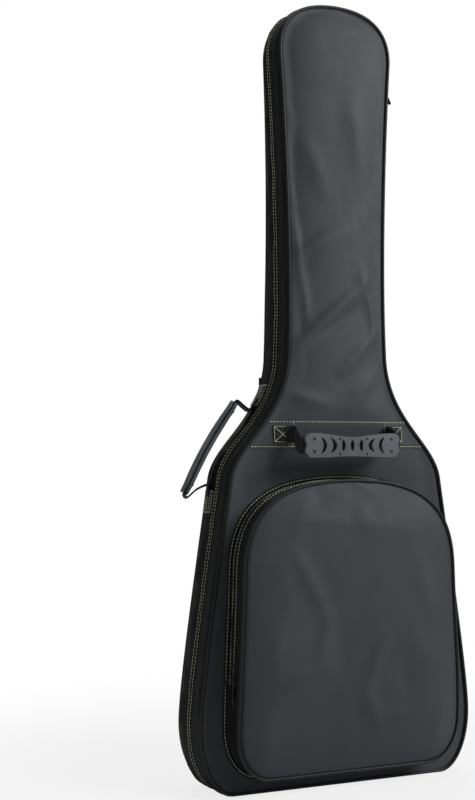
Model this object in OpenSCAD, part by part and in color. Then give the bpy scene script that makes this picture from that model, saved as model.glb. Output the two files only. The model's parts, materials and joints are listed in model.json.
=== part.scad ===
// Padded gig bag for an electric guitar, standing upright with its zipped front facing -Y.
// X runs across the bag, with the hinged side on +X. Y runs from front to back. Z is up.

/* [Outline] */
// Overall height of the bag
bag_height = 1050; // [1030:1:1090]
// Greatest width, across the lower bout
bout_width = 401; // [390:1:412]
// Height at which the side of the lower bout begins to taper
bout_start = 84; // [78:1:96]
// Width across the shoulders
shoulder_width = 317; // [308:1:326]
// Height of the shoulders
shoulder_height = 406; // [398:1:412]
// Width of the neck where it leaves the shoulders
neck_width = 149; // [142:1:158]
// Height at which the neck begins
neck_start = 576; // [566:1:586]
// Width of the head
head_width = 169; // [160:1:178]
// Distance from the top of the bag down to where the domed head begins
head_start = 74; // [68:1:82]
// Width of the rounded bottom corner
corner_width = 47; // [38:1:58]
// Depth from the front face to the back face
bag_depth = 80; // [74:1:90]
// Height above which the back leans forward, so that the head is shallower than the body
lean_start = 640; // [615:5:655]
// Angle by which the upper back leans forward
back_lean = 4.2; // [2:0.1:4.5]

/* [Padding] */
// Thickness of the padded gusset walls
gusset_wall = 10; // [8:0.5:12]
// Thickness of the foam in the front and back
foam_t = 6; // [5:0.5:8]
// Thickness of the lining
lining_t = 1.5; // [1:0.1:2]
// Gap between stitched layers
layer_gap = 0.2; // [0.1:0.05:0.3]
// Diameter of the piping, and thickness of the faces that it edges
piping_d = 4; // [3:0.5:5]

/* [Main zip] */
// Distance from the back face to the zip tape
back_gusset_depth = 46; // [42:1:50]
// Visible width of each half of the zip tape
tape_w = 5.8; // [5:0.2:7]
// Thickness of the zip tape
tape_t = 2; // [1.5:0.1:2.5]
// Distance from the outside of the gusset in to the tape
tape_inset = 1; // [0.6:0.1:1.4]
// Thickness of the coil behind the tape
coil_t = 2; // [1.5:0.1:2.5]
// Gap between the two halves of the coil
zip_gap = 1.4; // [1.2:0.1:1.8]
// Lower end of the zip, measured up the hinge line from the floor
zip_low = 119; // [110:1:130]
// Distance from the height of the bag down to the upper end of the zip, along the hinge line
zip_high = 151; // [144:1:160]
// Gap in the cross seam at each end of the zip
seam_gap = 1; // [0.8:0.1:1.5]

/* [Cover hinge] */
// Lean of the hinge line from upright, in degrees
hinge_lean = 7.5; // [7:0.1:8]
// Clearance from the widest part of the hinged side to the hinge line
hinge_clear = 4; // [3.5:0.5:6]

/* [Handles] */
// Length of the moulded grip
grip_length = 142; // [134:1:148]
// Height of the moulded grip
grip_height = 32; // [28:1:34]
// Thickness of each half of the grip
grip_half_t = 5; // [4:0.5:6]
// How far the grip's upper edge dips in the middle
grip_dip = 5; // [3:0.5:7]
// Width of the webbing
web_w = 25; // [22:1:26]
// Thickness of the webbing
web_t = 2.4; // [2:0.1:2.8]
// Radius of the rolled webbing where a handle meets the bag
root_r = 3; // [2.5:0.1:3.5]
// Clearance between a moving piece and the face beside it
clear = 0.3; // [0.3:0.05:0.5]
// Distance between the box-stitched patches of the front handle
carry_span = 140; // [136:1:144]
// Distance from the rolled ends out to the middle of the grip
carry_reach = 30; // [28:1:36]
// How far the front grip hangs below its rolled ends
carry_droop = 15; // [12:1:17]
// Height of the lower edge of the handle band
band_low = 445; // [442:1:448]
// Height of the handle band
band_height = 38; // [36:1:42]
// Thickness of a sewn-on band or patch
patch_t = 1.5; // [1:0.1:2]
// Length of a box-stitched patch
patch_l = 28; // [24:1:32]
// Height of the side handle's upper end
side_high = 498; // [490:1:506]
// Height of the side handle's lower end
side_low = 394; // [388:1:398]
// Distance from the side handle's ends out to the middle of its grip
side_reach = 25; // [23:1:30]
// How far the side handle's grip hangs below the middle of its ends
side_droop = 16; // [12:1:20]
// Angle by which the side handle leans towards the back
side_lean = 16; // [8:1:20]
// Distance from the back face to the middle of the side handle
side_depth = 25; // [23:1:27]
// Diameter of a grip pin
grip_pin_d = 4; // [3:0.5:5]

/* [Pocket] */
// Width of the pocket near its bottom
pocket_width = 322; // [310:1:330]
// Width of the pocket where its arch begins
pocket_arch_width = 308; // [300:1:314]
// Height of the pocket's lower edge
pocket_low = 24; // [20:1:30]
// Width of the pocket's rounded lower corners
pocket_corner = 46; // [40:1:52]
// Height of the top of the pocket
pocket_high = 403; // [396:1:406]
// Height at which the pocket's arch begins
pocket_arch = 287; // [276:1:296]
// Depth of the pocket
pocket_depth = 38; // [34:1:44]
// Depth of the pocket's rear gusset
pocket_rear = 16; // [14:1:18]
// Thickness of the pocket's walls
pocket_wall = 3; // [2.5:0.5:4]
// Height of the pocket's fold, where its zip ends
pocket_fold = 137; // [132:1:142]
// Visible width of each half of the pocket's zip tape
pocket_tape_w = 3.2; // [3:0.1:4]

/* [Back straps] */
// Height of the lower edge of the yoke band
yoke_low = 514; // [510:1:518]
// Height of the yoke band
yoke_height = 38; // [34:1:40]
// Thickness of the yoke band
yoke_t = 2.5; // [2:0.5:3]
// Distance between the middles of the shoulder straps
strap_spacing = 92; // [88:1:96]
// Width of a shoulder strap
strap_w = 68; // [60:1:72]
// Thickness of a shoulder strap
strap_t = 12; // [10:1:14]
// Height of the lower end of a shoulder strap's pad
strap_low = 184; // [180:1:190]
// How far a shoulder strap bows out from the back
strap_bow = 46; // [40:1:52]
// Distance from the back face to the middle of the buckle
buckle_stand = 17; // [16:1:20]
// Width of the buckle
buckle_w = 50; // [46:1:54]
// Height of the buckle's upper bar
buckle_high = 166; // [163:1:168]
// Spacing of the buckle's bars
bar_spacing = 13.5; // [12.5:0.5:15]
// Radius of the buckle's bars
bar_r = 2.2; // [2:0.1:2.5]
// Height of the lift tab below the buckle's lowest bar
tab_height = 22; // [18:1:24]
// Height of the lowest point of the slack webbing
loop_low = 14; // [10:1:20]
// Height of the lower edge of an anchor wing at the side of the bag
wing_low = 106; // [100:1:112]
// Height of an anchor wing at the side of the bag
wing_height = 44; // [38:1:48]
// Drop of the grab handle below its rolled end
grab_drop = 70; // [64:1:76]
// Distance between the legs of the grab handle, middle to middle
grab_spacing = 60; // [56:1:64]

/* [Zip sliders] */
// Distance from the top of the bag down to the upper slider of the main zip
slider_high = 89; // [86:1:95]
// Distance between the two sliders of a zip
slider_pitch = 20; // [19:0.5:24]
// Height of the lower slider of the pocket's zip
pocket_slider_low = 152; // [150:1:156]
// Length of a slider
slider_l = 12; // [10:0.5:13]
// Width of a slider
slider_w = 10; // [9:0.5:11]
// Thickness of a slider's plates
slider_t = 1.6; // [1.4:0.1:2]
// Radius of the pin that holds a pull
pull_pin_r = 0.8; // [0.7:0.1:1]
// Length of a pull from its pin to its tip
pull_l = 32; // [28:1:34]
// Width of a pull
pull_w = 7; // [6:0.5:8]
// Thickness of a pull
pull_t = 2.4; // [2:0.2:3]
// Lean of the upper pull, which rests on the lower slider, in degrees
pull_lean = 18; // [14:1:20]

/* [Inside] */
// Width of the neck rest
rest_w = 70; // [60:1:80]
// Length of the neck rest
rest_l = 80; // [70:1:90]
// Thickness of the neck rest
rest_t = 18; // [14:1:20]
// Height of the middle of the neck rest
rest_z = 700; // [680:1:720]
// Thickness of the pad under the guitar's end
end_pad_t = 8; // [6:1:10]
// Width of the pad under the guitar's end
end_pad_w = 240; // [200:1:250]

/* [Hidden] */

steps = 12;
round_fn = 48;

// A shoulder strap's thickness, and how far its inner face stands off the back,
// for s from 0 at its root to 1 at its end.
root_t = 3;
strap_steps = 28;
function strap_thick(s) = root_t + (strap_t - root_t) * min(1, s * 10, (1 - s) * 14 + 0.2);
function strap_stand(s) = (1 - s) * clear + s * (buckle_stand - strap_thick(1) / 2)
  + strap_bow * (1 - cos(360 * pow(s, 1.6))) / 2;

// Room taken in front of and behind the bag's two faces, which centres the part on Y.
root_stand = 2 * (patch_t + layer_gap) + clear + root_r;
grip_reach = root_stand + carry_reach + web_t / 2 + layer_gap + grip_half_t;
front_reach = max(pocket_depth, grip_reach);
back_reach = max([for (i = [0 : strap_steps]) let (s = i / strap_steps) strap_stand(s) + strap_thick(s)]);
y_back = (bag_depth + front_reach - back_reach) / 2;
y_front = y_back - bag_depth;

// Points along a cubic curve, leaving out its last point, so that curves chain end to start.
function curve(a, b, c, d, n = steps) = [
  for (i = [0 : n - 1]) let (t = i / n, s = 1 - t)
    s * s * s * a + 3 * s * s * t * b + 3 * s * t * t * c + t * t * t * d
];

// Right half of the outline, from the middle of the bottom up to the top of the head.
corner_x = bout_width / 2 - corner_width;
draw_in = (bout_width - shoulder_width) / 2;
waist = shoulder_height - bout_start;
slope = neck_start - shoulder_height;
head_z = bag_height - head_start;
neck_run = head_z - neck_start;
bag_half = concat(
  [[0, 0]],
  curve([corner_x, 0], [corner_x + corner_width * 0.55, 0],
    [bout_width / 2, bout_start * 0.45], [bout_width / 2, bout_start]),
  curve([bout_width / 2, bout_start], [bout_width / 2, bout_start + waist * 0.16],
    [shoulder_width / 2 + draw_in * 0.22, shoulder_height - waist * 0.21],
    [shoulder_width / 2, shoulder_height]),
  curve([shoulder_width / 2, shoulder_height],
    [shoulder_width / 2 - draw_in * 0.19, shoulder_height + slope * 0.29],
    [neck_width / 2, neck_start - slope * 0.525], [neck_width / 2, neck_start], 16),
  curve([neck_width / 2, neck_start], [neck_width * 0.473, neck_start + neck_run * 0.235],
    [neck_width / 2, head_z - neck_run * 0.36], [head_width / 2, head_z]),
  curve([head_width / 2, head_z], [head_width * 0.515, head_z + head_start * 0.54],
    [head_width * 0.39, bag_height], [0, bag_height], 16),
  [[0, bag_height]]
);

// Right half of the pocket's outline.
pocket_rise = pocket_arch - pocket_low;
pocket_dome = pocket_high - pocket_arch;
pocket_half = concat(
  [[0, pocket_low]],
  curve([pocket_width / 2 - pocket_corner, pocket_low],
    [pocket_width / 2 - pocket_corner * 0.45, pocket_low],
    [pocket_width / 2, pocket_low + pocket_corner * 0.54],
    [pocket_width / 2, pocket_low + pocket_corner * 1.3], 8),
  curve([pocket_width / 2, pocket_low + pocket_corner * 1.3],
    [pocket_width / 2, pocket_low + pocket_rise * 0.456],
    [pocket_arch_width * 0.506, pocket_arch - pocket_rise * 0.304],
    [pocket_arch_width / 2, pocket_arch], 8),
  curve([pocket_arch_width / 2, pocket_arch], [pocket_arch_width * 0.494, pocket_arch + pocket_dome * 0.6],
    [pocket_arch_width * 0.39, pocket_high], [0, pocket_high], 14),
  [[0, pocket_high]]
);

// A closed outline from its right half.
function whole(half) = concat(
  half,
  [for (i = [len(half) - 2 : -1 : 1]) [-half[i][0], half[i][1]]]
);
bag = whole(bag_half);
pocket = whole(pocket_half);

// The outline moved inwards by d, each point along the normal between its neighbours.
function inset(pts, d) = [
  for (i = [0 : len(pts) - 1])
    let (
      before = pts[(i + len(pts) - 1) % len(pts)],
      after = pts[(i + 1) % len(pts)],
      run = after - before
    )
    pts[i] + d * [-run[1], run[0]] / norm(run)
];

// Half width of an outline at a height.
function edge_x(half, z) = lookup(z, [for (p = half) [p[1], p[0]]]);

// A flat shape drawn in X and Z, between two places on Y.
module plate(pts, y0, y1) {
  translate([0, y1, 0]) rotate([90, 0, 0]) linear_extrude(y1 - y0) polygon(pts);
}

// A wall that follows an outline, between two distances in from it.
module wall(pts, out, in, y0, y1) {
  difference() {
    plate(inset(pts, out), y0, y1);
    plate(inset(pts, in), y0 - 1, y1 + 1);
  }
}

// A shape drawn in Y and Z and extruded along X.
module side_profile(pts, x0, x1) {
  translate([x0, 0, 0]) rotate([90, 0, 90]) linear_extrude(x1 - x0) polygon(pts);
}

// A strip of even thickness along a path drawn in Y and Z.
function ribbon(path, t) = let (n = len(path) - 1) concat(
  [for (i = [0 : n]) let (run = path[min(i + 1, n)] - path[max(i - 1, 0)])
    path[i] + t / 2 * [-run[1], run[0]] / norm(run)],
  [for (i = [n : -1 : 0]) let (run = path[min(i + 1, n)] - path[max(i - 1, 0)])
    path[i] - t / 2 * [-run[1], run[0]] / norm(run)]
);

// Everything between two heights.
module between(z0, z1) {
  translate([-bout_width, -bag_depth * 3, z0]) cube([2 * bout_width, 6 * bag_depth, z1 - z0]);
}

module keep_between(z0, z1) {
  intersection() {
    children();
    between(z0, z1);
  }
}

// The hinge line leans with the hinged side and lies just outside its widest points.
hinge_reach = hinge_clear + max([for (p = bag_half) p[0] * cos(hinge_lean) + p[1] * sin(hinge_lean)]);
hinge_foot = hinge_reach / cos(hinge_lean);

// The stretch of the hinged side that has no zip, grown by e at both ends.
module hinge_zone(e = 0) {
  translate([hinge_foot, 0, 0]) rotate([0, -hinge_lean, 0])
    translate([-bout_width / 3, -bag_depth * 2, zip_low - e])
      cube([bout_width / 2, 4 * bag_depth, bag_height - zip_high - zip_low + 2 * e]);
}

// Depths, as places on Y, of the parts of the gusset from the back face forwards.
y_back_in = y_back - piping_d;
y_front_in = y_front + piping_d;
y_tape_base = y_back - back_gusset_depth - layer_gap;
y_zip = y_tape_base - tape_w - zip_gap / 2;
y_tape_cover = y_zip - zip_gap / 2 - tape_w;

fabric = [0.30, 0.30, 0.32];
fabric_dark = [0.22, 0.23, 0.22];
black = [0.08, 0.08, 0.08];
lining_grey = [0.35, 0.35, 0.37];
foam_grey = [0.55, 0.55, 0.55];
rubber = [0.27, 0.28, 0.29];

// ---- The base: back, gusset and everything sewn to them ----

// Pieces on the part of the back that leans forward, about a line just behind the back.
module on_lean() {
  translate([0, y_back + piping_d, lean_start]) rotate([back_lean, 0, 0])
    translate([0, -y_back - piping_d, -lean_start]) children();
}

// A layer of the back, upright below lean_start and leaning forward above it.
module leaning() {
  keep_between(-1, lean_start) children();
  on_lean() keep_between(lean_start - 1, 2 * bag_height) children();
}

// Everything behind the leaning layer whose front lies d in front of the back face.
module behind_lean(d) {
  on_lean() translate([-bout_width, y_back - d, lean_start - 20])
    cube([2 * bout_width, bag_depth, bag_height]);
}

module face_panel(y0, y1) {
  plate(inset(bag, piping_d + layer_gap), y0, y1);
}

module inner_layer(y0, y1) {
  plate(inset(bag, gusset_wall + clear), y0, y1);
}

module back_panel() {
  color(fabric) leaning() face_panel(y_back_in, y_back);
}

y_back_foam = y_back_in - layer_gap;
y_back_lining = y_back_foam - foam_t - layer_gap;
y_cavity_back = y_back_lining - lining_t;

module back_foam() {
  color(foam_grey) leaning() inner_layer(y_back_foam - foam_t, y_back_foam);
}

module back_lining() {
  color(lining_grey) leaning() inner_layer(y_cavity_back, y_back_lining);
}

module back_piping() {
  color(black) leaning() wall(bag, 0, piping_d, y_back_in, y_back);
}

module back_gusset() {
  color(fabric_dark) difference() {
    wall(bag, 0, gusset_wall, y_back - back_gusset_depth, y_back_in - layer_gap);
    hinge_zone(seam_gap);
    behind_lean(piping_d + layer_gap);
  }
}

module zip_half(y0, y1) {
  difference() {
    wall(bag, tape_inset, tape_inset + tape_t, y0, y1);
    hinge_zone(seam_gap);
  }
}

module coil_half(y0, y1) {
  difference() {
    wall(bag, tape_inset + tape_t + layer_gap, tape_inset + tape_t + layer_gap + coil_t, y0, y1);
    hinge_zone(seam_gap);
  }
}

module zip_tape_base() {
  color(black) zip_half(y_tape_base - tape_w, y_tape_base);
}

module zip_coil_base() {
  color(black) coil_half(y_tape_base - tape_w, y_tape_base - tape_w / 2);
}

module yoke_band() {
  color(fabric) keep_between(yoke_low, yoke_low + yoke_height)
    face_panel(y_back + layer_gap, y_back + layer_gap + yoke_t);
}

// A wing narrows from the side seam to the webbing at its tip.
wing_t = 3;
wing_tip_x = strap_spacing / 2 - web_w / 2;
wing_mid = wing_low + wing_height / 2 + 6;
y_wing = y_back + layer_gap;

module strap_wing(side) {
  color(fabric) scale([side, 1, 1]) intersection() {
    plate([
      [wing_tip_x, wing_mid - web_w / 2],
      [wing_tip_x + 60, wing_mid - web_w / 2],
      [bout_width, wing_low - 30],
      [bout_width, wing_low + wing_height + 4],
      [wing_tip_x + 60, wing_mid + web_w / 2],
      [wing_tip_x, wing_mid + web_w / 2]
    ], y_wing, y_wing + wing_t);
    face_panel(y_wing, y_wing + wing_t);
  }
}

// Slack webbing: down from the wing, round at the bottom, and up to just below the buckle.
y_slack = y_wing + wing_t + layer_gap + web_t / 2;
y_buckle = y_back + buckle_stand;
slack_r = (y_buckle - y_slack) / 2;
buckle_low = buckle_high - 2 * bar_spacing - tab_height;
slack_path = concat(
  [[y_slack, wing_mid + web_w / 2]],
  [for (a = [180 : 15 : 360])
    [y_slack + slack_r, loop_low + web_t / 2 + slack_r] + slack_r * [cos(a), sin(a)]],
  [[y_buckle, buckle_low - 1]]
);

module slack_webbing(side) {
  x = side * strap_spacing / 2;
  color(black) side_profile(ribbon(slack_path, web_t), x - web_w / 2, x + web_w / 2);
}

y_rest = y_cavity_back - layer_gap;

module neck_rest() {
  color(foam_grey) on_lean() translate([-rest_w / 2, y_rest - rest_t, rest_z - rest_l / 2])
    cube([rest_w, rest_t, rest_l]);
}

module neck_strap() {
  x_in = rest_w / 2 + layer_gap;
  y_out = y_rest - rest_t - layer_gap;
  color(black) on_lean() translate([0, 0, rest_z - web_w * 0.75]) linear_extrude(web_w * 1.5) polygon([
    [-x_in - 10, y_rest], [-x_in, y_rest], [-x_in, y_out], [x_in, y_out], [x_in, y_rest],
    [x_in + 10, y_rest], [x_in + 10, y_rest - web_t], [x_in + web_t, y_rest - web_t],
    [x_in + web_t, y_out - web_t], [-x_in - web_t, y_out - web_t],
    [-x_in - web_t, y_rest - web_t], [-x_in - 10, y_rest - web_t]
  ]);
}

module end_pad() {
  y_far = y_back - back_gusset_depth + 2;
  color(foam_grey) translate([-end_pad_w / 2, y_far, gusset_wall + layer_gap])
    cube([end_pad_w, y_cavity_back - layer_gap - y_far, end_pad_t]);
}

module side_handle_patches() {
  patch_w = web_w * 1.16;
  lead = root_r * 4 / 3;
  y0 = y_back - side_depth - patch_w / 2;
  color(black) intersection() {
    wall(bag, -layer_gap - patch_t, -layer_gap, y0, y0 + patch_w);
    union() {
      translate([-bout_width, y0, side_high + lead]) cube([bout_width, patch_w, patch_l]);
      translate([-bout_width, y0, side_low - lead - patch_l]) cube([bout_width, patch_w, patch_l]);
    }
  }
}

// ---- The cover: front, its gussets and its half of the zip ----

module front_panel() {
  color(fabric) face_panel(y_front, y_front_in);
}

y_front_foam = y_front_in + layer_gap;
y_front_lining = y_front_foam + foam_t + layer_gap;
y_cavity_front = y_front_lining + lining_t;

module front_foam() {
  color(foam_grey) inner_layer(y_front_foam, y_front_foam + foam_t);
}

module front_lining() {
  color(lining_grey) inner_layer(y_front_lining, y_cavity_front);
}

module front_piping() {
  color(black) wall(bag, 0, piping_d, y_front, y_front_in);
}

module front_gusset() {
  color(fabric_dark) difference() {
    wall(bag, 0, gusset_wall, y_front_in + layer_gap, y_tape_cover - layer_gap);
    hinge_zone(layer_gap);
  }
}

module hinge_gusset() {
  color(fabric_dark) difference() {
    intersection() {
      wall(bag, 0, gusset_wall, y_front_in + layer_gap, y_back_in - clear);
      hinge_zone();
    }
    behind_lean(piping_d + clear);
  }
}

module zip_tape_cover() {
  color(black) zip_half(y_tape_cover, y_tape_cover + tape_w);
}

module zip_coil_cover() {
  color(black) coil_half(y_tape_cover + tape_w / 2, y_tape_cover + tape_w);
}

module handle_band() {
  color(fabric) keep_between(band_low, band_low + band_height)
    face_panel(y_front - layer_gap - patch_t, y_front - layer_gap);
}

band_mid = band_low + band_height / 2;
y_band = y_front - layer_gap - patch_t;

module carry_handle_patches() {
  color(black) for (side = [-1, 1])
    translate([side * (carry_span / 2 + patch_l / 2) - patch_l / 2, y_band - layer_gap - patch_t,
        band_mid - web_w / 2])
      cube([patch_l, patch_t, web_w]);
}

// ---- The pocket ----

y_pocket_rear = y_front - layer_gap;
y_pocket_face = y_front - pocket_depth;
y_pocket_tape = y_pocket_rear - pocket_rear;
y_pocket_zip = y_pocket_tape - layer_gap - pocket_tape_w - zip_gap / 2;
y_flap_gusset = y_pocket_zip - zip_gap / 2 - pocket_tape_w - layer_gap;
flap_low = pocket_fold + clear;
pocket_tape_inset = 0.4;

module pocket_rear_gusset() {
  color(fabric_dark) wall(pocket, 0, pocket_wall, y_pocket_tape, y_pocket_rear);
}

module pocket_zip_ring(y0) {
  difference() {
    wall(pocket, pocket_tape_inset, pocket_wall, y0, y0 + pocket_tape_w);
    between(0, flap_low);
  }
}

module pocket_zip_rear() {
  color(black) pocket_zip_ring(y_pocket_zip + zip_gap / 2);
}

module pocket_pouch() {
  color(fabric) keep_between(0, pocket_fold) {
    union() {
      wall(pocket, 0, pocket_wall, y_pocket_face + piping_d, y_pocket_tape - layer_gap);
      plate(inset(pocket, piping_d / 2 + layer_gap), y_pocket_face, y_pocket_face + piping_d + 0.5);
    }
  }
}

module pocket_piping() {
  wall(pocket, -piping_d / 2, piping_d / 2, y_pocket_face, y_pocket_face + piping_d - layer_gap);
}

module pouch_piping() {
  color(black) keep_between(0, pocket_fold) pocket_piping();
}

module pocket_flap() {
  color(fabric) keep_between(flap_low, pocket_high)
    plate(inset(pocket, piping_d / 2 + layer_gap), y_pocket_face, y_pocket_face + piping_d - layer_gap);
}

module flap_gusset() {
  color(fabric_dark) keep_between(flap_low, pocket_high + 1)
    wall(pocket, 0, pocket_wall, y_pocket_face + piping_d, y_flap_gusset);
}

module flap_piping() {
  color(black) keep_between(flap_low, pocket_high + piping_d) pocket_piping();
}

module pocket_zip_flap() {
  color(black) pocket_zip_ring(y_flap_gusset + layer_gap);
}

// ---- Handles: webbing in a two-part moulded grip, drawn along X with the grip at the origin ----

grip_half_l = grip_length / 2;
grip_corner = grip_height / 4;
core_w = web_w * 0.84;
grip_outline = concat(
  [[-grip_half_l + grip_corner, -grip_height / 2], [grip_half_l - grip_corner, -grip_height / 2],
   [grip_half_l, -grip_height / 2 + grip_corner], [grip_half_l, grip_height / 2 - grip_corner],
   [grip_half_l - grip_corner, grip_height / 2]],
  [for (i = [8 : -1 : -8]) let (u = i / 8 * 0.8)
    [u * grip_half_l, grip_height / 2 - grip_dip * pow(cos(u / 0.8 * 90), 2)]],
  [[-grip_half_l + grip_corner, grip_height / 2], [-grip_half_l, grip_height / 2 - grip_corner],
   [-grip_half_l, -grip_height / 2 + grip_corner]]
);
pin_places = [for (sx = [-1, 1], sz = [-1, 1])
  [sx * (grip_half_l - grip_height * 0.44), sz * grip_height / 4]];

// One half of the grip, with its pin holes and its row of finger slots. out is -1 or 1 on Y.
module grip_half(out) {
  y0 = out > 0 ? web_t / 2 + layer_gap : -web_t / 2 - layer_gap - grip_half_t;
  difference() {
    plate(grip_outline, y0, y0 + grip_half_t);
    for (p = pin_places)
      translate([p[0], y0 - 1, p[1]]) rotate([-90, 0, 0])
        cylinder(d = grip_pin_d, h = grip_half_t + 2, $fn = 24);
    if (out < 0)
      for (i = [-3 : 3])
        translate([i * grip_length * 0.098 - grip_height / 16, y0 - 1, -grip_height * 0.27])
          cube([grip_height / 8, grip_half_t * 0.6 + 1, grip_height * 0.5]);
  }
}

module grip_pins() {
  reach = web_t / 2 + layer_gap + grip_half_t;
  for (p = pin_places)
    translate([p[0], -reach * 0.94, p[1]]) rotate([-90, 0, 0])
      cylinder(d = grip_pin_d * 0.975, h = reach * 1.88, $fn = 24);
}

arm_x = grip_half_l + web_t / 2 + layer_gap;

// Webbing core through the grip, and an arm from each end to its rolled root.
// The roots lie at +-span/2 on X, moved along by slide, reach behind the grip and rise above it.
module handle_webbing(span, reach, rise, slide = 0) {
  difference() {
    union() {
      translate([-arm_x, -web_t / 2, -core_w / 2]) cube([2 * arm_x, web_t, core_w]);
      for (side = [-1, 1]) {
        translate([side * arm_x - web_t / 2, -web_t / 2, -core_w / 2])
          cube([web_t, grip_half_t + 1.5 * web_t + 2 * layer_gap, core_w]);
        hull() {
          translate([side * arm_x - web_t / 2, grip_half_t + web_t / 2 + 2 * layer_gap, -core_w / 2])
            cube([web_t, web_t / 2, core_w]);
          translate([slide + side * span / 2 - root_r, reach, rise]) rotate([0, 90, 0])
            cylinder(r = root_r, h = 2 * root_r, $fn = 16);
        }
      }
    }
    for (p = pin_places)
      translate([p[0], -web_t, p[1]]) rotate([-90, 0, 0])
        cylinder(d = grip_pin_d, h = 2 * web_t, $fn = 24);
  }
}

y_carry_root = y_front - root_stand;

module place_carry() {
  translate([0, y_carry_root - carry_reach, band_mid - carry_droop]) children();
}

carry_root_span = 2 * (arm_x + root_r * 2 / 3);

module carry_webbing() {
  color(black) place_carry() handle_webbing(carry_root_span, carry_reach, carry_droop);
}

module carry_grip_outer() {
  color(rubber) place_carry() grip_half(-1);
}

module carry_grip_inner() {
  color(rubber) place_carry() grip_half(1);
}

module carry_grip_pins() {
  color(black) place_carry() grip_pins();
}

// The side handle spans the hollow between the neck and the shoulder, on the side away from the hinge.
side_top = [-edge_x(bag_half, side_high), side_high];
side_bottom = [-edge_x(bag_half, side_low), side_low];
side_run = side_top - side_bottom;
side_span = norm(side_run);
side_tilt = atan2(side_run[0], side_run[1]);
side_root_out = clear + root_r * 1.7;

module place_side() {
  mid = (side_top + side_bottom) / 2;
  translate([mid[0], y_back - side_depth, mid[1]]) rotate([0, side_tilt - 90, 0]) rotate([-90, 0, 0])
    translate([0, -side_root_out, 0]) rotate([-side_lean, 0, 0])
      translate([-side_droop, -side_reach, 0]) children();
}

module side_webbing() {
  color(black) place_side() handle_webbing(side_span - root_r * 4 / 3, side_reach, 0, side_droop);
}

module side_grip_outer() {
  color(rubber) place_side() grip_half(-1);
}

module side_grip_inner() {
  color(rubber) place_side() grip_half(1);
}

module side_grip_pins() {
  color(black) place_side() grip_pins();
}

// The grab handle is a loop of webbing that hangs over the yoke band.
y_grab_root = y_back + layer_gap + yoke_t + clear + root_r;
grab_root_z = yoke_low + yoke_height - root_r;
grab_lean = 16;

module grab_handle() {
  leg_in = grab_spacing / 2 - web_w / 2;
  leg_out = grab_spacing / 2 + web_w / 2;
  color(black) translate([0, y_grab_root, grab_root_z]) rotate([grab_lean, 0, 0]) union() {
    difference() {
      translate([-leg_out, -web_t / 2, -grab_drop]) cube([2 * leg_out, web_t, grab_drop]);
      translate([-leg_in, -web_t, -grab_drop + web_w]) cube([2 * leg_in, 2 * web_t, grab_drop]);
    }
    for (side = [-1, 1])
      translate([side * grab_spacing / 2 - web_w / 2, 0, 0]) rotate([0, 90, 0])
        cylinder(r = root_r, h = web_w, $fn = round_fn);
  }
}

// ---- Shoulder straps ----

strap_root_z = yoke_low - clear;
strap_run = strap_root_z - strap_low;
strap_profile = concat(
  [for (i = [0 : strap_steps]) let (s = i / strap_steps)
    [y_back + strap_stand(s) + strap_thick(s), strap_root_z - s * strap_run]],
  [for (i = [strap_steps : -1 : 0]) let (s = i / strap_steps)
    [y_back + strap_stand(s), strap_root_z - s * strap_run]]
);

module strap_pad(side) {
  x = side * strap_spacing / 2;
  color(fabric) side_profile(strap_profile, x - strap_w / 2, x + strap_w / 2);
}

// A short webbing tab is sewn under the pad's end and loops round the buckle's upper bar.
tab_w = buckle_w - 12;
tab_r = bar_r + clear + web_t / 2;
tab_path = concat(
  [[y_buckle + tab_r, strap_low - clear]],
  [for (a = [0 : -15 : -180]) [y_buckle, buckle_high] + tab_r * [cos(a), sin(a)]],
  [[y_buckle - tab_r, strap_low - clear]]
);

module strap_tab(side) {
  x = side * strap_spacing / 2;
  color(black) side_profile(ribbon(tab_path, web_t), x - tab_w / 2, x + tab_w / 2);
}

// A three-bar buckle with a lift tab.
module buckle(side) {
  rail = 5;
  thick = 2 * bar_r;
  x = side * strap_spacing / 2;
  color(black) translate([x, y_buckle, 0]) {
    for (edge = [-1, 1])
      translate([edge * (buckle_w - rail) / 2 - rail / 2, -bar_r - 0.5, buckle_high - 2 * bar_spacing - 2])
        cube([rail, thick + 1, 2 * bar_spacing + 2 + bar_r]);
    for (i = [0 : 2])
      translate([-buckle_w / 2 + 1, 0, buckle_high - i * bar_spacing]) rotate([0, 90, 0])
        cylinder(r = bar_r, h = buckle_w - 2, $fn = round_fn);
    translate([-buckle_w / 2 + 3, -bar_r, buckle_low])
      cube([buckle_w - 6, thick, tab_height]);
  }
}

// ---- Zip sliders and pulls, drawn with the zip along Z and its outside facing +X ----

lug_t = 1;
lug_in = 2;
pin_out = slider_t + 2.4;
eye_r = 2;

module slider_body(drop) {
  translate([0, -slider_w / 2, -slider_l / 2]) cube([slider_t, slider_w, slider_l]);
  for (side = [-1, 1])
    translate([slider_t / 2, side * (lug_in + lug_t / 2) - lug_t / 2, 0])
      union() {
        translate([0, 0, -1.6]) cube([pin_out - slider_t / 2, lug_t, 3.2]);
        translate([pin_out - slider_t / 2, 0, 0]) rotate([-90, 0, 0])
          cylinder(r = 1.6, h = lug_t, $fn = round_fn);
      }
  translate([pin_out, -lug_in - lug_t, 0]) rotate([-90, 0, 0])
    cylinder(r = pull_pin_r, h = 2 * (lug_in + lug_t), $fn = round_fn);
  // Post through the gap of the zip, and the inner plate behind the front half of the coil.
  translate([-drop, -zip_gap / 2 + clear, -slider_l / 4])
    cube([drop + 0.5, zip_gap - 2 * clear, slider_l / 2]);
  translate([-drop, -slider_w / 2, -slider_l / 2])
    cube([slider_t, slider_w / 2 + zip_gap / 2 - clear, slider_l]);
}

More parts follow.
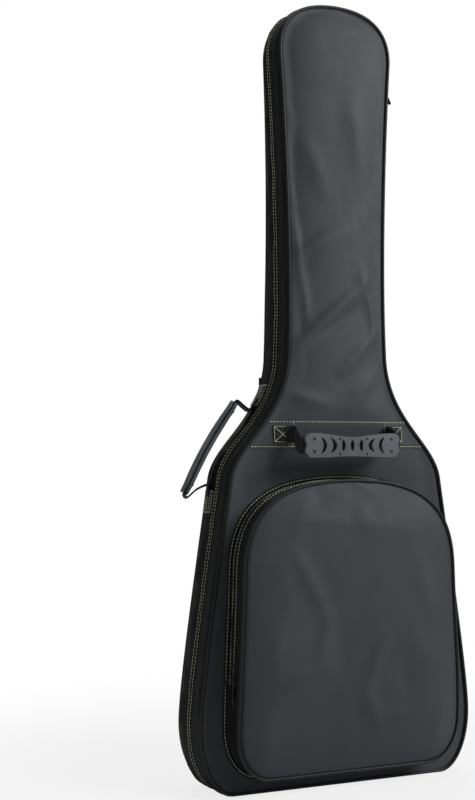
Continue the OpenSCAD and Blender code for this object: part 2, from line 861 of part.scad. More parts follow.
module pull_body() {
  bore_r = pull_pin_r + clear;
  difference() {
    union() {
      rotate([-90, 0, 0]) translate([0, 0, -lug_in + clear])
        cylinder(r = eye_r, h = 2 * (lug_in - clear), $fn = round_fn);
      translate([-pull_t / 2, -lug_in + clear, -8]) cube([pull_t, 2 * (lug_in - clear), 8]);
      translate([-pull_t / 2, -pull_w / 2, -pull_l]) cube([pull_t, pull_w, pull_l - 7]);
    }
    translate([0, -lug_in - 1, 0]) rotate([-90, 0, 0])
      cylinder(r = bore_r, h = 2 * lug_in + 2, $fn = round_fn);
  }
}

slider_top = bag_height - slider_high;
slider_low = slider_top - slider_pitch;

// Lean of an outline along a slider, and the place of the slider's plate just off the tape.
function edge_lean(half, z) =
  atan2(edge_x(half, z + slider_l / 2) - edge_x(half, z - slider_l / 2), slider_l);
function slider_place(half, z, in) = let (a = edge_lean(half, z))
  [edge_x(half, z), z] + (2 * clear - in) * [cos(a), -sin(a)];
function pin_place(half, z, in) = let (a = edge_lean(half, z))
  slider_place(half, z, in) + pin_out * [cos(a), -sin(a)];
main_drop = tape_t + layer_gap + coil_t + 6 * clear + slider_t;

module at_edge(place, y) {
  translate([place[0], y, place[1]]) children();
}

module main_slider(z) {
  at_edge(slider_place(bag_half, z, tape_inset), y_zip)
    rotate([0, edge_lean(bag_half, z), 0]) slider_body(main_drop);
}

// A pull hangs plumb, unless the side below its pin flares out and holds it off.
function hang(half, z, in) = max(0, atan2(
  edge_x(half, z - pull_l) + clear + pull_t / 2 - pin_place(half, z, in)[0], pull_l));

module main_pull(z, lean) {
  at_edge(pin_place(bag_half, z, tape_inset), y_zip)
    rotate([0, -lean - hang(bag_half, z, tape_inset), 0]) pull_body();
}

module zip_slider_upper() {
  color(black) main_slider(slider_top);
}

module zip_slider_lower() {
  color(black) main_slider(slider_low);
}

module zip_pull_upper() {
  color(black) main_pull(slider_top, pull_lean);
}

module zip_pull_lower() {
  color(black) main_pull(slider_low, 0);
}

pocket_slider_high = pocket_slider_low + slider_pitch;
pocket_drop = pocket_wall - pocket_tape_inset + 4 * clear + slider_t;

module pocket_slider(z) {
  mirror([1, 0, 0]) at_edge(slider_place(pocket_half, z, pocket_tape_inset), y_pocket_zip)
    rotate([0, edge_lean(pocket_half, z), 0]) slider_body(pocket_drop);
}

module pocket_pull(z, lean) {
  mirror([1, 0, 0]) at_edge(pin_place(pocket_half, z, pocket_tape_inset), y_pocket_zip)
    rotate([0, -lean - hang(pocket_half, z, pocket_tape_inset), 0]) pull_body();
}

module pocket_slider_upper() {
  color(black) pocket_slider(pocket_slider_high);
}

module pocket_slider_lower() {
  color(black) pocket_slider(pocket_slider_low);
}

module pocket_pull_upper() {
  color(black) pocket_pull(pocket_slider_high, pull_lean);
}

module pocket_pull_lower() {
  color(black) pocket_pull(pocket_slider_low, 0);
}

back_panel();
back_foam();
back_lining();
back_piping();
back_gusset();
zip_tape_base();
zip_coil_base();
yoke_band();
strap_wing(1);  // strap_wing_right
strap_wing(-1);  // strap_wing_left
slack_webbing(1);  // slack_webbing_right
slack_webbing(-1);  // slack_webbing_left
neck_rest();
neck_strap();
end_pad();
side_handle_patches();
front_panel();
front_foam();
front_lining();
front_piping();
front_gusset();
hinge_gusset();
zip_tape_cover();
zip_coil_cover();
handle_band();
carry_handle_patches();
pocket_rear_gusset();
pocket_zip_rear();
pocket_pouch();
pouch_piping();
pocket_flap();
flap_gusset();
flap_piping();
pocket_zip_flap();
carry_webbing();
carry_grip_outer();
carry_grip_inner();
carry_grip_pins();
side_webbing();
side_grip_outer();
side_grip_inner();
side_grip_pins();
grab_handle();
strap_pad(1);  // strap_pad_right
strap_pad(-1);  // strap_pad_left
strap_tab(1);  // strap_tab_right
strap_tab(-1);  // strap_tab_left
buckle(1);  // buckle_right
buckle(-1);  // buckle_left
zip_slider_upper();
zip_slider_lower();
zip_pull_upper();
zip_pull_lower();
pocket_slider_upper();
pocket_slider_lower();
pocket_pull_upper();
pocket_pull_lower();
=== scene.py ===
# %% [markdown]
# # A padded gig bag, sewn piece by piece
# The object is a soft case for an electric guitar: two padded faces joined by a gusset, a zip that
# runs round most of it, a domed pocket, moulded handles and two shoulder straps. The solids that
# carry its sizes and joints are loaded first, and every sewn piece is then made in their place.

# %% Load the frame
import json
import math

import bmesh
import bpy
import numpy as np
from mathutils import Matrix, Vector, noise
from mathutils.bvhtree import BVHTree


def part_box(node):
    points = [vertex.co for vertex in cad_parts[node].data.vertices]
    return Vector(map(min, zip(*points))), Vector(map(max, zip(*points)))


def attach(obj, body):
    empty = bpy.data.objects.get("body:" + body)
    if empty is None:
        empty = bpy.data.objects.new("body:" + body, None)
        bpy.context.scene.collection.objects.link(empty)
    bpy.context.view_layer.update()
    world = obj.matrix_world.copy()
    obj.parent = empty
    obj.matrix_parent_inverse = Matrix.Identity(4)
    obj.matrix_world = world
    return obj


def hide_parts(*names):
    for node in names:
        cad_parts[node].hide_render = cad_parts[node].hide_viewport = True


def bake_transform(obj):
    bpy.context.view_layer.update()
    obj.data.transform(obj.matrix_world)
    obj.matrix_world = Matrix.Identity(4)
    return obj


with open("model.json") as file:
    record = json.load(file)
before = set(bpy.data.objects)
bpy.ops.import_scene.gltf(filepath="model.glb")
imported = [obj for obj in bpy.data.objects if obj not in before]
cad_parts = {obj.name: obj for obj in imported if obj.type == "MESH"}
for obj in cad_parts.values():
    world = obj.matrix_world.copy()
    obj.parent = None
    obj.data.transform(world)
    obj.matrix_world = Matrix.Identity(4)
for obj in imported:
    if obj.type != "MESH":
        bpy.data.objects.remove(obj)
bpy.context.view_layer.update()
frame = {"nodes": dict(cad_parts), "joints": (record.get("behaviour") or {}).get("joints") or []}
MM = 0.001
RIGHT, BACKWARD, FORWARD, UP = Vector((1, 0, 0)), Vector((0, 1, 0)), Vector((0, -1, 0)), Vector((0, 0, 1))


def joint_at(name):
    """The place of a joint in the frame."""
    return next(j for j in frame["joints"] if j["name"] == name)["pos_m"]


def refinish(name, material):
    """Gives a solid that stays in the scene its finish."""
    frame["nodes"][name].data.materials.clear()
    frame["nodes"][name].data.materials.append(material)


def placed(x, y, z, at):
    """The matrix with these axes, standing at a place."""
    return Matrix.Translation(at) @ Matrix((x, y, z)).transposed().to_4x4()


def clamped(value):
    return min(1.0, max(0.0, value))


# %% [markdown]
# The seams lie at known depths. Reading them from the solids keeps the cloth in step with the sizes.

# %% Depths and heights from the solids
back_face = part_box("back_panel")[1].y
piping_wide = 0.004
back_in = back_face - piping_wide
front_face, front_in = (corner.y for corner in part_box("front_panel"))
tape_base, tape_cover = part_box("zip_tape_base"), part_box("zip_tape_cover")
cover_edge, base_edge = tape_cover[0].y, tape_base[1].y
zip_line = (tape_cover[1].y + tape_base[0].y) / 2
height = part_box("front_piping")[1].z
pocket_face_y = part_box("pocket_flap")[0].y
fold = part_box("pocket_pouch")[1].z
print("depths in mm:", [round(v / MM, 1) for v in (back_face, base_edge, zip_line, cover_edge, front_face)])

# %% [markdown]
# A guitar's head is thinner than its body, so the upper back leans forward. Each point of the back
# moves by its share: all of the lean at the back seam, none of it at the zip. The same step keeps
# the cloth on the floor where its bulge would go below.

# %% Lean of the upper back
lean_start, lean_slope, lean_soft = 0.640, math.tan(math.radians(4.2)), 0.0004
floor_gap = 0.0005


def lean_back(point):
    above = point.z - lean_start
    above = (above + math.sqrt(above * above + lean_soft)) / 2
    share = clamped((point.y - base_edge) / (back_in - base_edge))
    return Vector((point.x, point.y - above * lean_slope * share, max(point.z, floor_gap)))


# %% [markdown]
# ## Outlines
# A sewing pattern is a few smooth curves. The bag's side is drawn as five cubic curves from the
# middle of the floor edge up to the top of the head, and the pocket's as three. Stepping along
# them evenly gives rows of the same size for every panel, gusset, cord and zip.

# %% Curves of the pattern
def cubic(a, b, c, d, count=24):
    a, b, c, d = (Vector(p) for p in (a, b, c, d))
    steps = [i / count for i in range(count)]
    return [(1 - t) ** 3 * a + 3 * (1 - t) ** 2 * t * b + 3 * (1 - t) * t * t * c + t ** 3 * d for t in steps]


bout, bout_z, shoulder, shoulder_z = 0.2005, 0.084, 0.1585, 0.406
neck, neck_z, head, head_z = 0.0745, 0.576, 0.0845, height - 0.074
corner = bout - 0.047
draw, waist, slope, run = bout - shoulder, shoulder_z - bout_z, neck_z - shoulder_z, head_z - neck_z
bag_side = (
    cubic((corner, 0), (corner + 0.0259, 0), (bout, bout_z * 0.45), (bout, bout_z))
    + cubic((bout, bout_z), (bout, bout_z + waist * 0.16),
            (shoulder + draw * 0.22, shoulder_z - waist * 0.21), (shoulder, shoulder_z))
    + cubic((shoulder, shoulder_z), (shoulder - draw * 0.19, shoulder_z + slope * 0.29),
            (neck, neck_z - slope * 0.525), (neck, neck_z))
    + cubic((neck, neck_z), (neck * 0.946, neck_z + run * 0.235), (neck, head_z - run * 0.36), (head, head_z))
    + cubic((head, head_z), (head * 1.03, head_z + 0.04), (head * 0.78, height), (0, height))
    + [Vector((0, height))]
)
arch, arch_z, low, top = 0.154, 0.287, 0.024, 0.403
rise, dome = arch_z - low, top - arch_z
pocket_side = (
    cubic((0.115, low), (0.1403, low), (0.161, low + 0.0248), (0.161, low + 0.0598))
    + cubic((0.161, low + 0.0598), (0.161, low + rise * 0.456), (arch * 1.012, arch_z - rise * 0.304), (arch, arch_z))
    + cubic((arch, arch_z), (arch * 0.988, arch_z + dome * 0.6), (arch * 0.78, top), (0, top))
    + [Vector((0, top))]
)


def evenly(points, step):
    """Points at an even step along a line of points."""
    lengths = np.cumsum([0] + [(b - a).length for a, b in zip(points, points[1:])])
    count = max(2, round(lengths[-1] / step))
    where = np.linspace(0, lengths[-1], count + 1)
    axes = [np.interp(where, lengths, [p[i] for p in points]) for i in range(len(points[0]))]
    return [Vector(p) for p in zip(*axes)]


STEP = 0.006  # along an outline


def loop_of(side, step=STEP):
    """The whole closed outline as (place, outward direction, length so far), from the middle of its lower edge."""
    half = [Vector((0, side[0].y))] + side
    points = evenly(half + [Vector((-p.x, p.y)) for p in half[-2::-1]], step)[:-1]
    loop = []
    for i, p in enumerate(points):
        along = (points[(i + 1) % len(points)] - points[i - 1]).normalized()
        loop.append((p, Vector((along.y, -along.x)), i * step))
    return loop


def inward(side, by):
    """The side of an outline moved inwards."""
    out = []
    for i, p in enumerate(side):
        along = (side[min(i + 1, len(side) - 1)] - side[max(i - 1, 0)]).normalized()
        out.append(p - by * Vector((along.y, -along.x)))
    return out


def half_width(side, z):
    return float(np.interp(z, [p.y for p in side], [p.x for p in side]))


bag_loop = loop_of(bag_side)
pocket_loop = loop_of(pocket_side)
print("outline steps:", len(bag_loop), "and", len(pocket_loop))

# %% [markdown]
# ## Finishes
# Each finish is a small node tree on Object coordinates, or on the piece's own map where it follows
# a strip. Thread and rib spacings are real sizes, made a little coarser where they'd be too
# fine to show.

# %% A colour and a node
def colour(code):
    """sRGB hex to the linear values that a shader takes."""
    parts = [int(code[i:i + 2], 16) / 255 for i in (0, 2, 4)]
    return tuple(c / 12.92 if c <= 0.04045 else ((c + 0.055) / 1.055) ** 2.4 for c in parts) + (1.0,)


def node(tree, kind, inputs=None, **settings):
    """Adds a node. inputs gives its sockets a value, or another node's socket."""
    new = tree.nodes.new("ShaderNode" + kind)
    for name, value in settings.items():
        setattr(new, name, value)
    for name, value in (inputs or {}).items():
        if isinstance(value, bpy.types.NodeSocket):
            tree.links.new(value, new.inputs[name])
        else:
            new.inputs[name].default_value = value
    return new


def finish_of(name, shader, build):
    """A material whose Principled shader has fixed values from shader, and links that build adds."""
    made = bpy.data.materials.new(name)
    made.use_nodes = True
    tree = made.node_tree
    main = tree.nodes["Principled BSDF"]
    for socket, value in shader.items():
        main.inputs[socket].default_value = value
    build(tree, main)
    return made


def tinted(tree, main, factor, dark, pale):
    mix = node(tree, "Mix", {"Factor": factor, 6: colour(dark), 7: colour(pale)}, data_type="RGBA")
    tree.links.new(mix.outputs[2], main.inputs["Base Color"])


def raised(tree, main, socket, distance, strength, below=None):
    """A bump of a height in metres, over another one if below is its normal."""
    under = {"Normal": below} if below else {}
    bump = node(tree, "Bump", {"Height": socket, "Distance": distance, "Strength": strength, **under})
    tree.links.new(bump.outputs["Normal"], main.inputs["Normal"])
    return bump.outputs["Normal"]


def mottled(tree, main, dark, pale, place, scale):
    """A colour that drifts between two, as dyed cloth and moulded parts do."""
    drift = node(tree, "TexNoise", {"Vector": place, "Scale": scale, "Detail": 3.0})
    ramp = node(tree, "MapRange", {"Value": drift.outputs["Fac"], "From Min": 0.3, "From Max": 0.7})
    tinted(tree, main, ramp.outputs["Result"], dark, pale)


def worn(tree, main, place, scale, low, high):
    """A roughness that drifts between two values."""
    drift = node(tree, "TexNoise", {"Vector": place, "Scale": scale, "Detail": 2.0})
    rough = node(tree, "MapRange", {"Value": drift.outputs["Fac"], "To Min": low, "To Max": high})
    tree.links.new(rough.outputs["Result"], main.inputs["Roughness"])


# %% [markdown]
# The shell is coated nylon oxford, a plain weave of flat yarns about 0.5 mm apart. It is drawn at
# 1.4 mm so that the weave reads at arm's length. Crossed bands raise the yarns, a fine noise makes
# them uneven, and a broad noise gives the soft rumple of coated cloth.

# %% Woven nylon
def wave_scale(pitch):
    """The Wave node's Scale for bands that repeat every so many millimetres."""
    return math.tau / 20 / (pitch * MM)


def woven(name, dark, pale, roughness=0.58, sheen=0.12, spacing=1.4, rumple=0.9, turn=0.0, gloss=0.45):
    def build(tree, main):
        at = node(tree, "TexCoord").outputs["Object"]
        turned = node(tree, "Mapping", {"Vector": at, "Rotation": (0, turn, 0)}).outputs["Vector"]
        waves = {"Vector": turned, "Scale": wave_scale(spacing), "Distortion": 0.4, "Detail": 1.0, "Detail Scale": 4.0}
        bands = [node(tree, "TexWave", waves, bands_direction=axis).outputs["Fac"] for axis in ("X", "Z")]
        weave = node(tree, "Math", {0: bands[0], 1: bands[1]}, operation="MULTIPLY")
        soft = node(tree, "TexNoise", {"Vector": at, "Scale": 34.0, "Detail": 3.0, "Roughness": 0.45})
        yarn = raised(tree, main, weave.outputs[0], 0.12 * MM, 0.5)
        raised(tree, main, soft.outputs["Fac"], rumple * MM, 0.5, yarn)
        mottled(tree, main, dark, pale, at, 9.0)
        worn(tree, main, at, 60.0, roughness - 0.05, roughness + 0.07)
    return finish_of(name, {"Sheen Weight": sheen, "Sheen Roughness": 0.45, "Specular IOR Level": gloss}, build)


shell = woven("shell_nylon_oxford", "3b3d41", "44474b")
# The pocket face is the shell's nylon painted a shade darker: painted shade for the light that reaches the pocket less.
pocket_painted_shade_cloth = woven("pocket_nylon_oxford", "3a3d41", "42454a")
# The gusset is a darker, greenish nylon. Its colour is darkened further as painted shade for the sides of the bag that
# the light barely reaches.
gusset_dark_and_shaded_cloth = woven("gusset_nylon_oxford", "181b18", "212421", roughness=0.68, sheen=0.03, turn=0.3, gloss=0.22)
strap_cloth = woven("strap_nylon_oxford", "393b3d", "424446", spacing=1.6)
lining_cloth = woven("lining_nylon_taffeta", "34363a", "3f4146", roughness=0.5, sheen=0.2, spacing=1.0, rumple=1.2)

# %% [markdown]
# Webbing is a narrow woven strip whose ribs cross it every 1.5 mm or so. The piece's own map gives
# the way along it, so that the ribs follow each bend.

# %% Strips that follow their own map
def ribbed(name, dark, pale, pitch, roughness=0.7, depth=0.25, both=False, sheen=0.1):
    def build(tree, main):
        at = node(tree, "TexCoord").outputs["UV"]
        ribs = node(tree, "TexWave", {"Vector": at, "Scale": wave_scale(pitch), "Distortion": 0.3},
                    bands_direction="Y").outputs["Fac"]
        if both:
            cross = node(tree, "TexWave", {"Vector": at, "Scale": wave_scale(pitch)}, bands_direction="X")
            ribs = node(tree, "Math", {0: ribs, 1: cross.outputs["Fac"]}, operation="MULTIPLY").outputs[0]
        raised(tree, main, ribs, depth * MM, 0.7)
        tinted(tree, main, ribs, dark, pale)
    return finish_of(name, {"Roughness": roughness, "Sheen Weight": sheen, "Sheen Roughness": 0.4,
                            "Specular IOR Level": 0.35}, build)


web_cloth = ribbed("webbing_polypropylene", "1d1e1f", "292a2b", 1.6)
piping_cloth = ribbed("piping_nylon_wrap", "1b1c1d", "262728", 2.0, roughness=0.42, depth=0.06)
tape_cloth = ribbed("zip_tape_knit", "1c1d1d", "272828", 1.4, roughness=0.75, both=True)
binding_cloth = ribbed("binding_grosgrain", "27282a", "333436", 1.6, roughness=0.65)

# %% [markdown]
# The grips are moulded thermoplastic rubber, matt with a faint spark texture. The buckles are
# moulded acetal, darker and smoother. The sliders are die-cast zinc under black enamel, so they
# are not bare metal to the eye: a dark paint with a clear gloss.

# %% Moulded and cast finishes
def moulded(name, dark, pale, roughness, grain, depth, extra=None):
    def build(tree, main):
        at = node(tree, "TexCoord").outputs["Object"]
        pits = node(tree, "TexNoise", {"Vector": at, "Scale": 1 / (grain * MM), "Detail": 2.0})
        raised(tree, main, pits.outputs["Fac"], depth * MM, 0.6)
        mottled(tree, main, dark, pale, at, 45.0)
        worn(tree, main, at, 120.0, roughness - 0.06, roughness + 0.08)
    return finish_of(name, extra or {}, build)


rubber = moulded("grip_moulded_rubber", "5c6163", "676c6e", 0.6, 1.2, 0.05)
acetal = moulded("buckle_moulded_acetal", "202123", "28292b", 0.38, 1.5, 0.03)
enamel = moulded("slider_enamelled_zinc", "1d1e20", "262729", 0.3, 2.0, 0.02,
                 {"Coat Weight": 0.4, "Coat Roughness": 0.15})
coil_nylon = moulded("coil_extruded_nylon", "191a1b", "222324", 0.45, 1.0, 0.02)
plug = moulded("pin_black_steel", "222325", "2c2d2f", 0.4, 1.0, 0.02)
thread = moulded("stitch_olive_polyester", "c6c8a6", "dcdec2", 0.7, 0.4, 0.05, {"Sheen Weight": 0.2})
thread_bright = moulded("stitch_lime_polyester", "c6cb9c", "e2e6c0", 0.7, 0.4, 0.05, {"Sheen Weight": 0.2})
thread_dark = moulded("stitch_black_polyester", "1f2021", "2a2b2c", 0.7, 0.4, 0.05)
print("finishes:", len(bpy.data.materials))

# %% [markdown]
# ## Ways of making
# Nearly every piece of a bag is a flat strip or panel that was bent into place. So one helper
# starts from a grid, gives it a map in real lengths, and lays each of its points where the piece
# has it. Edges that meet are merged, which closes tubes and the ends of domes.

# %% Lay a grid as a piece
def laid(across, along, place, size=(0.02, 1.0)):
    made = bmesh.new()
    bmesh.ops.create_grid(made, x_segments=across, y_segments=along, size=0.5)
    uv = made.loops.layers.uv.new("UVMap")
    for face in made.faces:
        for loop in face.loops:
            loop[uv].uv = ((loop.vert.co.x + 0.5) * size[0], (loop.vert.co.y + 0.5) * size[1])
    for vert in made.verts:
        vert.co = place(vert.co.x + 0.5, vert.co.y + 0.5)
    bmesh.ops.remove_doubles(made, verts=made.verts, dist=2e-6)
    return made


def piece(name, made, material, body, replaced=(), facing=None, blend=None, soft=None, subdivide=0, fill=0.6,
          slot=None, flat=False):
    """Turns a bmesh into a named object that rides on a body, or, where blend is given, stays fixed where it was made.
    """
    if facing is not False:
        bmesh.ops.recalc_face_normals(made, faces=made.faces)
        if facing is not None:
            towards = sum((f.normal * f.calc_area() for f in made.faces), Vector()).dot(Vector(facing))
            if towards < 0:
                bmesh.ops.reverse_faces(made, faces=made.faces)
    mesh = bpy.data.meshes.new(name)
    made.to_mesh(mesh)
    made.free()
    mesh.polygons.foreach_set("use_smooth", [not flat] * len(mesh.polygons))
    obj = bpy.data.objects.new(name, mesh)
    bpy.context.scene.collection.objects.link(obj)
    mesh.materials.append(material)
    if soft:
        puff(obj, **soft)
    if subdivide:
        finer = obj.modifiers.new("finer", "SUBSURF")
        finer.levels = finer.render_levels = subdivide
    if blend:
        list(blend[:2])
        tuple(blend[2])
        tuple(blend[3])
        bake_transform(obj)
    else:
        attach(obj, body)
    if replaced:
        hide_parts(*replaced)
    return obj


# %% [markdown]
# A padded face is held all round by its seam and pushed out by the foam behind it. The cloth
# solver finds that shape: the seam and the back of the piece are held, a light pressure works
# inside, and the cloth is cut a touch larger than the space so that it gathers softly. Each point
# may move only so far, so the piece stays in its place.

# %% Cloth under pressure
def puff(obj, pressure=2.5, cap=0.003, loosen=0.003, frames=14, passes=8):
    """cap limits each point's move, and passes smooth the moves over the mesh."""
    count = len(obj.data.vertices)
    rest = np.empty(count * 3, np.float32)
    obj.data.vertices.foreach_get("co", rest)
    rest = rest.reshape(-1, 3)
    pinned = [i for i, v in enumerate(obj.data.attributes["held"].data) if v.value > 0.5]
    group = obj.vertex_groups.new(name="held")
    group.add(pinned, 1.0, "REPLACE")
    cloth = obj.modifiers.new("Cloth", "CLOTH")
    cloth.settings.vertex_group_mass = "held"
    cloth.settings.use_pressure = True
    cloth.settings.uniform_pressure_force = pressure
    cloth.settings.shrink_min = -loosen
    cloth.settings.mass = 0.25
    cloth.settings.tension_stiffness = cloth.settings.compression_stiffness = 18
    cloth.settings.bending_stiffness = 0.8
    cloth.settings.effector_weights.gravity = 0
    cloth.collision_settings.use_collision = False
    cloth.point_cache.frame_start, cloth.point_cache.frame_end = 1, frames
    for step in range(1, frames + 1):
        bpy.context.scene.frame_set(step)
    done = obj.evaluated_get(bpy.context.evaluated_depsgraph_get()).data
    now = np.empty(count * 3, np.float32)
    done.vertices.foreach_get("co", now)
    moved = now.reshape(-1, 3) - rest
    ends = np.empty(len(obj.data.edges) * 2, np.int32)
    obj.data.edges.foreach_get("vertices", ends)
    ends = ends.reshape(-1, 2)
    shared = np.maximum(np.bincount(ends.ravel(), minlength=count), 1)[:, None]
    for _ in range(passes):
        around = np.zeros_like(moved)
        np.add.at(around, ends[:, 0], moved[ends[:, 1]])
        np.add.at(around, ends[:, 1], moved[ends[:, 0]])
        moved = (moved + around / shared) / 2
        moved[pinned] = 0
    far = np.linalg.norm(moved, axis=1, keepdims=True)
    moved *= np.minimum(1, cap / np.maximum(far, 1e-9))
    obj.modifiers.remove(cloth)
    obj.vertex_groups.remove(group)
    obj.data.vertices.foreach_set("co", (rest + moved).ravel())
    bpy.context.scene.frame_set(1)
    print(obj.name, "puffed; mean and largest move in mm:", np.round([far.mean() / MM, far.max() / MM], 2))


# %% [markdown]
# A face panel is laid in rows from its lower edge to its top. Its crown rises from the seam and
# levels off in the middle, and a few named folds lie in it. The panel is then made solid inwards.

# %% Crowned panels
def rows_of(side, count):
    points = evenly(side, 0.002)
    marks = np.linspace(0, len(points) - 1, count + 1)
    return [(float(np.interp(m, range(len(points)), [p.x for p in points])),
             float(np.interp(m, range(len(points)), [p.y for p in points]))) for m in marks]


def from_edge(line, floor, x, z):
    """Distance of a place from an outline's side and lower edge."""
    return min(float(np.sqrt(((line - (abs(x), z)) ** 2).sum(1).min())), z - floor)


def crown(distance, reach, lift, fullness=2.4):
    return lift * (1 - (1 - min(max(distance, 0) / reach, 1)) ** fullness)


def fold_lift(folds, x, z):
    """Height of soft folds, each (x, z, x, z, half width, height) in mm."""
    lift = 0.0
    for x0, z0, x1, z1, wide, high in folds:
        a, b, p = Vector((x0, z0)), Vector((x1, z1)), Vector((x, z)) / MM
        t = clamped((p - a).dot(b - a) / (b - a).length_squared)
        away = (p - a.lerp(b, t)).length / wide
        lift += high * MM * math.exp(-away * away) * (0.35 + 0.65 * math.sin(math.pi * min(t * 0.9 + 0.1, 1.0)))
    return lift


def panel(side, inset, across, along, lay, thick=0.004, deep=1):
    """A solid panel. lay(x, z, distance from its edge) gives a point of its outside, and the inside lies
    thick behind it, towards +Y where deep is 1. Its held points carry an attribute."""
    inner = inward(side, inset)
    rows = rows_of(inner, along)
    line = np.array([(p.x, p.y) for p in evenly(inner, 0.004)])

    def place(u, v):
        x, z = rows[round(v * along)]
        return lay(x * (2 * u - 1), z, from_edge(line, inner[0].y, x * (2 * u - 1), z))

    made = laid(across, along, place, (2 * max(r[0] for r in rows), rows[-1][1] - rows[0][1]))
    flag = made.verts.layers.float.new("held")
    for vert in made.verts:
        vert[flag] = 1.0 if any(e.is_boundary for e in vert.link_edges) else 0.0
    grown = bmesh.ops.extrude_face_region(made, geom=made.faces[:])
    for vert in (v for v in grown["geom"] if isinstance(v, bmesh.types.BMVert)):
        vert.co.y += thick * deep
        vert[flag] = 1.0
    return made


# %% [markdown]
# ## Front and back
# The two faces are nylon over six millimetres of foam. The front is loose where the neck runs into
# the shoulders, and the real bag shows long soft folds there.

# %% Front face
seam_in, face_sink, rim_soft = 0.0036, 0.0018, 0.02
front_folds = [
    (-66, 578, 46, 676, 8.5, 5.2), (-44, 590, 40, 640, 7.6, -3.5), (-62, 705, 4, 742, 8.5, 4.3),
    (4, 550, 62, 606, 8.5, 4.3), (-68, 750, -48, 620, 7.6, 3.8), (-84, 520, -20, 505, 7.6, 3.2),
    (-40, 690, 20, 742, 10.2, 2.6), (52, 545, 12, 500, 9.3, 2.9), (62, 600, 34, 690, 10.2, 3.5),
    (-105, 470, -60, 500, 7.6, -2), (24, 900, 40, 812, 15.3, 2.6), (-50, 860, -20, 790, 13.6, 2.3),
    (-150, 330, -166, 250, 6.8, 2.3), (-166, 190, -175, 110, 6.8, 2.3), (160, 330, 172, 240, 7.6, 2.3),
    (-130, 400, -90, 440, 8.5, 2.9),
]


def rumpled(folds, x, z, d, height=0.0012, scale=(14, 9), seed=0.0, share=1.0):
    """Folds and a broad unevenness, which die out at the seam."""
    uneven = height * noise.noise((x * scale[0], z * scale[1], seed))
    return min(1.0, d / rim_soft) * (fold_lift(folds, x, z) * (0.3 + 0.7 * share) + uneven * share)


def front_at(x, z, d):
    over = clamped((z - 0.40) / 0.10)
    lift = crown(d, 0.070, 0.0015 + 0.0095 * over) + rumpled(front_folds, x, z, d, seed=3.1, share=over)
    return Vector((x, front_face + face_sink - lift, z))


face_look = dict(soft=dict(loosen=0.003), subdivide=1, fill=0.5, slot="shell_fabric")
front_panel = piece(
    "front_shell", panel(bag_side, seam_in, 42, 200, front_at), shell, "cover",
    replaced=("front_panel", "front_foam"), **face_look,
)

# %% Back face
back_folds = [
    (60, 600, 8, 672, 10, 2.0), (-58, 590, -20, 700, 11, 1.6), (70, 560, 20, 590, 8, 1.6),
    (120, 330, 60, 250, 14, 1.6), (-130, 300, -80, 200, 15, 1.6), (-30, 880, 10, 800, 16, 1.2),
    (100, 120, 40, 70, 12, 1.2), (-110, 110, -40, 60, 12, 1.0), (-80, 500, -110, 440, 10, 1.2),
]


def back_at(x, z, d):
    """The back is flatter below the yoke, and without folds under it."""
    clear = clamped((abs(z - 0.535) - 0.03) / 0.05)
    lift = crown(d, 0.075, 0.0085) * (0.45 + 0.55 * clamped((z - 0.57) / 0.08))
    lift += clear * rumpled(back_folds, x, z, d, seed=7.7)
    return lean_back(Vector((x, back_face - face_sink + lift, z)))


back_panel = piece(
    "back_shell", panel(bag_side, seam_in, 44, 150, back_at, deep=-1), shell, "base",
    replaced=("back_panel", "back_foam"), **face_look,
)

# %% [markdown]
# Bands, patches and stitches lie on the finished faces, so each face is kept as a tree that a ray
# can meet.

# %% Find the surface of a face
def tree_of(obj):
    return BVHTree.FromObject(obj, bpy.context.evaluated_depsgraph_get())


def surface_of(tree, side, otherwise):
    """A function of x, z and lift for a face that is met from the front (-1) or from the back (1)."""
    def at(x, z, lift=0.0):
        hit = tree.ray_cast(Vector((x, 0.3 * side, z)), Vector((0, -side, 0)))[0]
        return Vector((x, (hit.y if hit else otherwise) + side * lift, z))
    return at


on_front = surface_of(tree_of(front_panel), -1, front_face)
on_back = surface_of(tree_of(back_panel), 1, back_face)


print("front surface at the middle, mm:", [round(on_front(0, z).y / MM, 1) for z in (0.2, 0.5, 0.8)])

# %% [markdown]
# ## Gussets, cords and zips
# The gusset is one strip of padded cloth round the bag. The hinge line decides where it has no
# zip: there a plain web joins the faces and bends as the cover opens. Elsewhere the zip splits it.

# %% Split the outline at the hinge
lean = math.radians(7.5)
foot = joint_at("cover_opening")[0]
zip_ends = (0.119, height - 0.151)


def up_hinge(p):
    return -math.sin(lean) * (p.x - foot) + math.cos(lean) * p.y


hinged = [s for s in bag_loop if s[0].x > 0.02 and zip_ends[0] <= up_hinge(s[0]) <= zip_ends[1]]
first, last = bag_loop.index(hinged[0]), bag_loop.index(hinged[-1])
zipped = bag_loop[last + 1:] + [(p, n, s + len(bag_loop) * STEP) for p, n, s in bag_loop[:first]]
print("stations on the hinge and the zip:", len(hinged), len(zipped))


OUTER = 0.62  # share of a section's ring that lies outside; the rest closes it inside


def ring(u, near, far, outer, inner, bulge, bend=1.0):
    """Inwards and depth at a share of a section's ring, whose outer side bulges."""
    if u < OUTER:
        t = u / OUTER
        return outer - bulge * math.sin(math.pi * t) ** bend, near + (far - near) * t
    return inner, far + (near - far) * (u - OUTER) / (1 - OUTER)


def strip_section(y0, y1, outer, inner, bulge, bend=1.0):
    """A closed section between two depths, the same at all heights."""
    return lambda u, z: ring(u, y0, y1, outer, inner, bulge, bend)


def ripple(s, y, scale, seed, second):
    finer = noise.noise((s * scale[0] * 2.3, y * scale[1] * 0.7, seed + 5))
    return noise.noise((s * scale[0], y * scale[1], seed)) + second * finer


